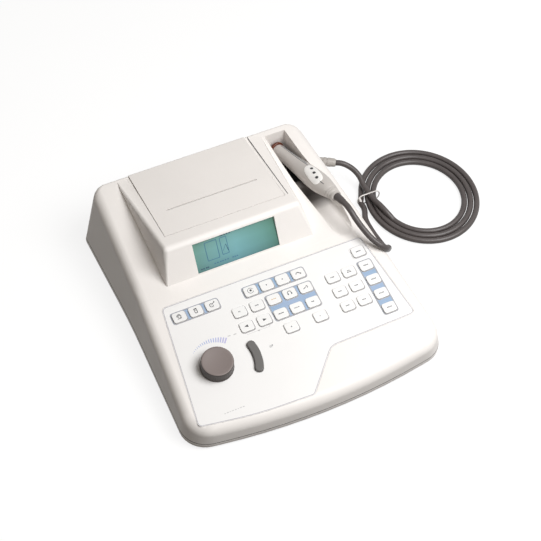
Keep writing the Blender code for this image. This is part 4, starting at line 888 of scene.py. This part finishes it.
def paint_key_shadows():
    """Painted shade: a fine grey line round each key where the gap round its cap is in shade, heavier at its foot and
    its right as a painted shadow.
    """
    made = bmesh.new()
    half_x, half_y = (size / 2 + key_gap for size in key_size)
    for key in key_names:
        spot = key_spot(key)
        loops = []
        for light, heavy in ((0.0, 0.0), (key_shadow_width, key_shadow_heavy)):
            verts = [made.verts.new((x, y, 0)) for x, y in rounded_outline(
                spot.x - half_x - light, spot.x + half_x + heavy, spot.y - half_y - heavy,
                spot.y + half_y + light, cap_corner + key_gap + (light + heavy) / 2, corner_steps)]
            loops += [made.edges.new((verts[i - 1], verts[i])) for i in range(len(verts))]
        raise_faces(made, bmesh.ops.bridge_loops(made, edges=loops)["faces"], key_shadow_height)
    face_outward(made)
    piece("key_outlines", made, [key_shadow_paint], "case", place=on_film)


def paint_film_edge_shade():
    """Painted shade: a grey line along the film's own edge, where the gap round the film is in shade."""
    film = bmesh.new()
    film.from_mesh(nodes["keypad_overlay"].data)
    bmesh.ops.transform(film, matrix=panel.inverted(), verts=film.verts)
    join_flats(film)
    level = max(vert.co.z for vert in film.verts)
    rim = edges_at(edges_over(film, film_rim_angle), level)
    start = min((vert for edge in rim for vert in edge.verts), key=lambda vert: vert.co.x)
    line, before = [start], None
    for _ in rim:
        onward = [edge.other_vert(line[-1]) for edge in line[-1].link_edges if edge in rim]
        onward = [vert for vert in onward if vert != before]
        before = line[-1]
        if onward[0] == start:
            break
        line.append(onward[0])
    places = [vert.co.copy() for vert in line]
    film.free()
    made = bmesh.new()
    face = made.faces.new([made.verts.new((p.x, p.y, level + print_lift)) for p in places])
    bmesh.ops.recalc_face_normals(made, faces=[face])
    if face.normal.z < 0:
        face.normal_flip()
    bmesh.ops.inset_region(made, faces=[face], thickness=film_line_inset, use_boundary=True, use_even_offset=True)
    outer = [other for other in made.faces if other != face]
    bmesh.ops.delete(made, geom=outer, context="FACES")
    bmesh.ops.inset_region(made, faces=[face], thickness=film_line_width, use_boundary=True, use_even_offset=True)
    bmesh.ops.delete(made, geom=[face], context="FACES")
    raise_faces(made, list(made.faces), print_thickness)
    face_outward(made)
    piece("film_edge_shade", made, [film_edge_shade_paint], "case", place=panel)


def cut_by_keys(obj):
    """Opens a printed field round each key."""
    holes = bmesh.new()
    half_x, half_y = (size / 2 + key_gap for size in key_size)
    for key in key_names:
        x, y = key_spot(key)
        soft_block(
            holes, (x - half_x, y - half_y, -cut_depth), (x + half_x, y + half_y, cut_depth), cap_corner + key_gap)
    bmesh.ops.transform(holes, matrix=panel, verts=holes.verts)
    mesh = bpy.data.meshes.new("key openings")
    holes.to_mesh(mesh)
    holes.free()
    cutter = stand("key openings", mesh)
    step = obj.modifiers.new("keys", "BOOLEAN")
    step.operation = "DIFFERENCE"
    step.object = cutter
    cut = drawn_mesh(obj)
    obj.modifiers.clear()
    obj.data = cut
    bpy.data.objects.remove(cutter)
    bpy.data.meshes.remove(mesh)


def print_field(name, first, right, foot, materials, border):
    """A printed field round some keys: the first one, the one at its right and the one at its foot."""
    first, right, foot = (key_spot(key) for key in (first, right, foot))
    around_x, around_y = (size / 2 + room for size, room in zip(key_size, field_room))
    made = print_block(first.x - around_x, right.x + around_x, foot.y - around_y, first.y + around_y, border)
    cut_by_keys(piece(name, made, materials, "case", place=on_film))


field_room = (1.6 * MM, 1.4 * MM)
field_border = 1.6 * MM
store_border = 0.5 * MM

# Each field's first key, the one at its right and the one at its foot
for field, first, right, foot in (
    ("mode", 1, 3, 1), ("test", 1, 4, 1), ("set", 1, 6, 6), ("store", 2, 2, 5)
):
    keys = (f"key_{field}_{number}" for number in (first, right, foot))
    print_field(f"{field}_field", *keys, [ink_blue, ink_border], field_border)
print_field("store_outline", "key_store_1", "key_store_1", "key_store_1", [film_white, ink_pale], store_border)
paint_key_shadows()
paint_film_edge_shade()


# The dial's ticks grow from the first to the last: radius, length, width in millimetres
tick_count = 17
tick_angles = (124.0, 50.0)
tick_radius = 29.0
tick_lengths = (0.8, 7.0)
tick_widths = (0.5, 1.6)

# Dashes in millimetres: start, end, width and ink, the first two from the control's middle
dial_dashes = ((25.0, 28.5, 28.2, 28.5, 1.2, 2), (31.5, 28.0, 34.9, 28.0, 1.2, 2))
film_dashes = ((-31.6, -91.5, -28.4, -91.5, 2.6, 2), (-28.8, -90.7, -27.4, -90.7, 1.2, 0))
foot_line_start = (-107.0, -144.0)
foot_line_dashes = (1.4, 2.2, 1.0, 2.6, 1.8, 1.2, 2.4, 1.6)
foot_line_gap = 1.2
foot_line_width = 0.9
bracket_drop = 9.0
bracket_over = 3.0
bracket_rise = 1.8
bracket_line = 0.35
bracket_dash = 1.2


def between(ends, share):
    return ends[0] + (ends[1] - ends[0]) * share


def print_marks():
    """The dial's ticks, the bracket under the arrows and the small marks."""
    made = bmesh.new()

    def stroke(x, y, to_x, to_y, width, ink):
        bar(made, (x * MM, y * MM), (to_x * MM, to_y * MM), width * MM, print_thickness, ink)

    knob = (panel_place(knob_spot) / MM).to_2d()
    for step in range(tick_count):
        share = step / (tick_count - 1)
        angle = math.radians(between(tick_angles, share))
        way = Vector((math.cos(angle), math.sin(angle)))
        start = knob + way * tick_radius
        stroke(*start, *(start + way * between(tick_lengths, share)), between(tick_widths, share), 1)
    for x, y, to_x, to_y, width, ink in dial_dashes:
        stroke(knob.x + x, knob.y + y, knob.x + to_x, knob.y + to_y, width, ink)
    left, right = (key_spot(key).x / MM for key in ("key_step_3", "key_step_4"))
    level = key_spot("key_step_3").y / MM - bracket_drop
    middle = (left + right) / 2
    ends = (left - bracket_over, right + bracket_over)
    stroke(ends[0], level, ends[1], level, bracket_line, 2)
    for x in ends:
        stroke(x, level, x, level + bracket_rise, bracket_line, 2)
    stroke(middle - bracket_dash, level, middle + bracket_dash, level, bracket_dash, 2)
    for dash in film_dashes:
        stroke(*dash)
    x, y = foot_line_start
    for length in foot_line_dashes:
        stroke(x, y, x + length, y, foot_line_width, 2)
        x += length + foot_line_gap
    piece("panel_marks", made, [ink_grey, ink_lilac, ink_pale], "case", place=on_film)


print_marks()

# Turning control and present bar

# Radius and height above the panel, in millimetres
knob_profile = (
    (0.0, 12.4), (7.0, 12.55), (12.4, 13.15), (15.2, 13.58), (16.3, 13.6), (17.0, 13.3), (17.4, 12.7), (17.55, 11.8),
    (17.7, 7.0), (17.8, 3.4), (18.1, 2.4), (18.3, 1.6), (18.3, 0.8), (3.0, 0.8), (3.0, -6.0), (0.0, -6.0),
)
knob_flutes = 48
flute_depth = 0.16 * MM
flute_radius = 17.1 * MM
flute_foot = 2.6 * MM
flute_head = 13.2 * MM
grip_radius = 17.0 * MM
bar_radius = 44.5 * MM
bar_half_width = 4.75 * MM
bar_start = -25.0
bar_end = 12.0
bar_steps = 20
bar_end_steps = 12
bar_rise = 3.2 * MM
bar_rim = 1.4 * MM


def dress_knob():
    made = turned(knob_profile, knob_flutes * 4)
    for vert in made.verts:
        radius = math.hypot(vert.co.x, vert.co.y)
        if radius > flute_radius and flute_foot < vert.co.z < flute_head:
            turn = math.atan2(vert.co.y, vert.co.x) * knob_flutes
            dip = flute_depth * max(0.0, math.cos(turn)) ** 2
            vert.co.xy *= 1 - dip / radius
    # The grip's faces keep the dark plastic; the top keeps the lighter copy with the painted sheen
    paint((face for face in made.faces if face.calc_center_median().xy.length > grip_radius), 1)
    piece("knob_finished", made, [knob_top_painted_sheen, knob_grip], "knob", ("knob",), 40.0, at_knob)


def dress_bar():
    """The present bar: its plan bent round the control, with a soft rim and a stippled top."""
    made = bmesh.new()
    last, first = (arc((0, 0), bar_radius, angle, angle, 1)[0] for angle in (bar_end, bar_start))
    ring = (
        arc((0, 0), bar_radius + bar_half_width, bar_start, bar_end, bar_steps)
        + arc(last, bar_half_width, bar_end, bar_end + 180, bar_end_steps, with_ends=False)
        + arc((0, 0), bar_radius - bar_half_width, bar_end, bar_start, bar_steps)
        + arc(first, bar_half_width, bar_start + 180, bar_start + 360, bar_end_steps, with_ends=False)
    )
    raise_faces(made, [made.faces.new([made.verts.new((x, y, cap_foot)) for x, y in ring])], bar_rise - cap_foot)
    face_outward(made)
    soften(made, edges_at(made.edges, bar_rise), bar_rim, 4)
    piece("present_bar_finished", made, [bar_grey], "present_bar", ("present_bar",), 40.0, at_knob)


at_knob = on_panel(*panel_place(knob_spot).to_2d())
dress_knob()
dress_bar()

# Probe, plug and cord

probe_nose = Vector((91.0, 146.0, 62.0)) * MM
probe_tail = Vector((110.5, 37.0, 84.0)) * MM
probe_way = (probe_nose - probe_tail).normalized()
probe_side = Vector((0, 0, 1)).cross(probe_way).normalized()
probe_up = probe_way.cross(probe_side)
probe_place = Matrix.Translation(probe_tail) @ Matrix((probe_side, probe_up, probe_way)).transposed().to_4x4()

# Along the probe from its tail, half width and half height, in millimetres
probe_rings = (
    (0.0, 5.2, 4.7), (0.4, 6.1, 5.5), (3.2, 6.7, 6.1), (3.9, 5.6, 5.1), (4.6, 7.0, 6.3), (6.9, 7.6, 6.7),
    (7.6, 6.5, 5.6), (8.3, 8.0, 6.9), (10.6, 8.6, 7.3), (11.3, 7.5, 6.2), (12.0, 8.9, 7.5), (18.0, 10.2, 8.8),
    (24.8, 11.5, 10.0), (32.0, 12.2, 10.8), (40.6, 12.3, 11.0), (49.0, 12.0, 10.5), (58.7, 11.3, 9.6),
    (69.0, 10.3, 8.8), (79.0, 9.5, 8.2), (94.8, 8.5, 7.6), (107.2, 8.0, 7.4), (115.5, 7.6, 7.1), (116.4, 6.6, 6.2),
)
cuff_profile = (
    (0.0, 115.6), (8.3, 115.7), (9.1, 116.4), (9.3, 117.6), (8.9, 119.2), (7.6, 120.6), (5.0, 121.4), (0.0, 121.7),
)
plug_profile = (
    (0.0, 11.8), (5.2, 11.8), (5.6, 12.2), (5.6, 15.6), (5.0, 15.9), (4.9, 16.5), (5.0, 17.0), (5.4, 17.3),
    (5.4, 21.0), (5.2, 21.3), (5.2, 22.0), (5.0, 25.6), (4.5, 26.9), (3.9, 27.3), (0.0, 27.3),
)
socket_spot = Vector((136.0, 145.5, 26.0)) * MM
plug_turn = math.radians(-32.0)
plug_way = Vector((math.cos(plug_turn), math.sin(plug_turn), 0.0))
plug_end = socket_spot + plug_way * plug_profile[-1][1] * MM


def lofted(rings, sides, shape):
    """A closed piece through rings, each a circle that shape moves into its place."""
    made = bmesh.new()
    loops = []
    for ring in rings:
        verts = bmesh.ops.create_circle(made, segments=sides, radius=1.0)["verts"]
        shape(made, verts, *ring)
        loops.append(edges_of(verts))
        if len(loops) > 1:
            bmesh.ops.bridge_loops(made, edges=loops[-2] + loops[-1])
        else:
            bmesh.ops.contextual_create(made, geom=loops[0])
    bmesh.ops.contextual_create(made, geom=loops[-1])
    face_outward(made)
    return made


def shape_shell(made, verts, reach, width, height):
    """Moves a circle to its place along the probe's body, in the probe's own frame."""
    bmesh.ops.scale(made, vec=(width * MM, height * MM, 1.0), verts=verts)
    bmesh.ops.translate(made, vec=(0, 0, reach * MM), verts=verts)


def on_probe(surface, along, aside, lift):
    """A place on the upper side of the probe's shell, lifted off it, and the way out of it there."""
    spot, out, *_ = surface.ray_cast(Vector((aside, clear_of_probe, along)), Vector((0, -1, 0)))
    return spot + out * lift, out


def squared(part):
    """A circle's share, pushed out so that the circle turns into a rounded patch."""
    return math.copysign(abs(part) ** plate_roundness, part)


def face_plate(surface):
    """The pale plate on the probe: a rounded patch that lies on its shell."""

    def shape(made, verts, share, lift):
        for vert in verts:
            angle = math.atan2(vert.co.y, vert.co.x)
            wide, long = squared(math.cos(angle)), squared(math.sin(angle))
            aside = plate_middle[1] + plate_half[1] * wide * share + plate_lean * plate_half[0] * long * share
            along = plate_middle[0] + plate_half[0] * long * share
            vert.co, _ = on_probe(surface, along, aside, lift * MM)

    return lofted(plate_rings, 48, shape)


def probe_lamps(surface):
    """Three dark lamps, half sunk in the plate."""
    made = bmesh.new()
    for along, aside in lamp_places:
        spot, out = on_probe(surface, along, aside, plate_rings[-1][1] * MM)
        verts = bmesh.ops.create_uvsphere(made, u_segments=16, v_segments=8, radius=lamp_radius)["verts"]
        bmesh.ops.scale(made, vec=(1.0, 1.0, lamp_flatness), verts=verts)
        turn = out.to_track_quat("Z", "Y").to_matrix().to_4x4()
        bmesh.ops.transform(made, matrix=Matrix.Translation(spot) @ turn, verts=verts)
    return made


def seam(name, surface, places, lift, material):
    """A fine line laid on the probe's shell."""
    spots = [probe_place @ on_probe(surface, along, aside, lift)[0] for along, aside in places]
    piece(name, wires([(spots, False)], seam_radius, 2), [material], "probe")


clear_of_probe = 50.0 * MM
plate_middle = (40.5 * MM, 1.8 * MM)
plate_half = (16.5 * MM, 7.4 * MM)
plate_lean = -0.16
plate_roundness = 0.72

# The plate's rings: share of its outline, and how far each stands off the probe in millimetres
plate_rings = ((1.0, -0.5), (1.0, 0.15), (0.96, 0.45), (0.88, 0.55), (0.6, 0.55), (0.3, 0.55))
lamp_places = ((48.0 * MM, -1.4 * MM), (39.4 * MM, 1.2 * MM), (31.2 * MM, 3.5 * MM))
lamp_radius = 1.9 * MM
lamp_flatness = 0.5
dash_ends = ((25.2 * MM, 4.1 * MM), (18.6 * MM, 3.4 * MM))
cover_aside = -2.7 * MM
cover_step = 2.1 * MM
cover_start = 112.0 * MM
cover_pitch = 4.5 * MM
cover_bow = 0.6 * MM
cover_steps = 12
seam_radius = 0.4 * MM
dash_lift = 0.1 * MM


def dress_probe():
    shell = lofted(probe_rings, 40, shape_shell)
    surface = BVHTree.FromBMesh(shell)
    for name, made, finish, stands_for, smooth in (
        ("probe_body_finished", shell, probe_grey, ("probe_body",), 50.0),
        ("probe_plate", face_plate(surface), probe_white, (), 50.0),
        ("probe_lamps", probe_lamps(surface), inlet_black, (), 35.0),
    ):
        piece(name, made, [finish], "probe", stands_for, smooth, probe_place)
    seam("probe_dash", surface, dash_ends, dash_lift, ink_dark)
    for number in (0, 1):
        aside = cover_aside - cover_step * number
        places = [
            (cover_start - cover_pitch * step, aside - cover_bow * (1 - step / cover_steps))
            for step in range(cover_steps + 1 - number)]
        seam(f"probe_cover_line_{number + 1}", surface, places, 0.0, ink_grey)
    cuff = turned(cuff_profile)
    piece("probe_tip_finished", cuff, [cuff_red], "probe", ("probe_tip",), 50.0, probe_place)
    finished_copy("probe_relief", [cord_jacket], smooth=60.0)


def dress_plug():
    place = Matrix.Translation(socket_spot) @ plug_way.to_track_quat("Z", "Y").to_matrix().to_4x4()
    plug = turned(plug_profile)
    piece("probe_plug_finished", plug, [plug_grey], "case", ("probe_plug",), 50.0, place)


def dress_tie():
    """A paper-covered wire bent round the strands, its two ends twisted together."""
    low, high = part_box("cord_tie")
    middle = (low.y + high.y) / 2
    left, right = low.x + tie_radius, high.x - tie_radius
    foot, head = low.z + tie_radius, high.z - tie_radius
    corner = (head - foot) * tie_corner
    loop = [Vector((x, middle, z)) for x, z in rounded_outline(left, right, foot, head, corner, 6)]
    tail = Vector((left + corner * tie_tail_inset, middle, head - corner * tie_tail_inset))
    made = wires([(loop, True), (twist(tail, 0.0), False), (twist(tail, math.pi), False)], tie_radius, 3)
    piece("cord_tie_finished", made, [tie_white], "case", ("cord_tie",), 60.0)


def twist(start, phase):
    """One of the tie's two ends, wound round the other."""
    ends = []
    for step in range(tie_tail_steps + 1):
        share = step / tie_tail_steps
        angle = phase + share * tie_half_turns * math.pi
        winding = Vector((math.cos(angle), tie_winding_lean, math.sin(angle))) * tie_winding
        ends.append(start + tie_tail_way * share * tie_tail + winding)
    return ends


tie_radius = 0.75 * MM
tie_corner = 0.45
tie_tail = 8.0 * MM
tie_tail_inset = 0.3
tie_tail_way = Vector((-0.25, -0.9, 0.25)).normalized()
tie_tail_steps = 24
tie_half_turns = 5
tie_winding = 0.95 * tie_radius
tie_winding_lean = 0.2

dress_probe()
dress_plug()
dress_tie()

cord_diameter = 6.9 * MM
cord_stub = 6.5 * MM
cord_sunk = 1.5 * MM
coil_centre = (235.0 * MM, 57.0 * MM)
coil_drift = 0.2 * MM
coil_first_radius = 48.6 * MM
coil_pitch = 7.2 * MM
coil_stretch = 1.09
coil_steps = 36
coil_start = 200.0
coil_sweep = 1035.0
coil_rise = math.radians(25.0)
coil_height = 3.5 * MM
relief_end = Vector((112.64, 25.02, 85.62)) * MM
relief_way = Vector((0.176, -0.984, 0.0))
coil_lift = 1.0 * MM
coil_lift_power = 6
tie_angle = math.radians(165.0)

socket_side_route = (
    (171.5, 122.2, 23.2), (176.5, 114.5, 20.0), (179.0, 105.5, 16.2), (178.5, 96.0, 13.2), (179.0, 84.0, 11.6),
    (179.1, 79.0, 11.6), (179.4, 76.0, 11.3), (180.6, 68.0, 11.0), (182.3, 60.5, 11.0),
)
probe_side_route = (
    (166.5, 70.0, 3.6), (160.0, 53.0, 3.6), (158.5, 36.0, 3.6), (159.0, 18.0, 3.6), (158.0, 4.0, 8.0),
    (155.0, -8.0, 18.0), (151.5, -16.0, 30.0), (146.0, -24.0, 43.0), (138.0, -29.5, 53.5), (128.5, -22.0, 61.5),
    (122.0, -10.5, 69.5), (117.0, 1.5, 78.6), (114.7, 11.5, 84.4),
)


def coil_line():
    line = []
    count = round(coil_sweep / 360 * coil_steps)
    for step in range(count + 1):
        turned_by = coil_sweep * step / count
        turns = turned_by / 360
        angle = math.radians(coil_start + turned_by)
        radius = coil_first_radius + coil_pitch * turns
        near_tie = max(0.0, math.cos(angle - tie_angle))
        x = coil_centre[0] + coil_drift * turns + radius * math.cos(angle)
        y = coil_centre[1] + coil_drift * turns + coil_stretch * radius * math.sin(angle)
        line.append(Vector((x, y, coil_height + coil_lift * near_tie**coil_lift_power)))
    return line


def cord_points():
    """Places along the whole cord: out of the plug, through the coil and up into the probe's relief."""
    coil = coil_line()
    first_way, last_way = ((end - before).to_2d().normalized().to_3d() for end, before in (coil[:2], coil[:-3:-1]))
    first_way = first_way * math.cos(coil_rise) + Vector((0, 0, math.sin(coil_rise)))
    socket_side = [Vector(spot) * MM for spot in socket_side_route]
    probe_side = [Vector(spot) * MM for spot in probe_side_route]
    return [
        plug_end - plug_way * cord_sunk, plug_end + plug_way * cord_stub,
        *socket_side,
        coil[0] + first_way * 2 * cord_stub, coil[0] + first_way * cord_stub,
        *coil,
        coil[-1] + last_way * cord_stub, coil[-1] + last_way * 2 * cord_stub,
        *probe_side,
        relief_end + relief_way * cord_stub, relief_end - relief_way * cord_sunk,
    ]


def lay_cord():
    points = cord_points()
    data = bpy.data.curves.new("cord", "CURVE")
    data.dimensions = "3D"
    data.bevel_depth = cord_diameter / 2
    data.bevel_resolution = 8
    data.resolution_u = 5
    data.use_fill_caps = True
    line = data.splines.new("BEZIER")
    line.bezier_points.add(len(points) - 1)
    for spot, point in zip(points, line.bezier_points):
        point.co = spot
        point.handle_left_type = point.handle_right_type = "AUTO"
    data.materials.append(cord_jacket)
    cord = stand("cord", data)
    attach(cord, "case")
    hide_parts("cord_socket_side", "cord_coil", "cord_probe_side")


lay_cord()

# Floor, light and world: one large soft light from the front right, over a dim warm room

softbox_spot = Vector((0.47, -0.45, 1.03))
softbox_size = 0.8
softbox_power = 15.6
room_colour = (1.0, 0.90, 0.79)
room_strength = 0.20
floor_half = 12.0
floor_drop = 0.0005
floor_white = (0.9, 0.9, 0.9)
floor_warmth = (1.0, 0.97, 0.93)
floor_bounce = 0.10
floor_glow = 1.12
floor_glow_share = 0.75


def light_scene():
    floor = bmesh.new()
    bmesh.ops.create_grid(floor, x_segments=1, y_segments=1, size=floor_half)
    mesh = bpy.data.meshes.new("floor")
    floor.to_mesh(mesh)
    floor.free()
    mesh.materials.append(backdrop())
    obj = stand("floor", mesh)
    obj.location.z = -floor_drop
    world = bpy.data.worlds.new("studio")
    world.use_nodes = True
    sky = Nodes(world.node_tree)
    dome = sky.tree.nodes["Background"]
    dome.inputs["Color"].default_value = (*room_colour, 1.0)
    dome.inputs["Strength"].default_value = room_strength
    white = sky.node("ShaderNodeBackground", {"Strength": 1.0, "Color": (1.0, 1.0, 1.0, 1.0)})
    sky.blend(sky.white_rays(), dome.outputs["Background"], white.outputs["Background"], "World Output")
    bpy.context.scene.world = world
    data = bpy.data.lights.new("softbox", "AREA")
    data.size = softbox_size
    data.energy = softbox_power
    lamp = stand("softbox", data)
    lamp.location = softbox_spot
    lamp.rotation_euler = (-softbox_spot).to_track_quat("-Z", "Y").to_euler()
    bpy.context.scene.view_settings.view_transform = "Standard"


light_scene()
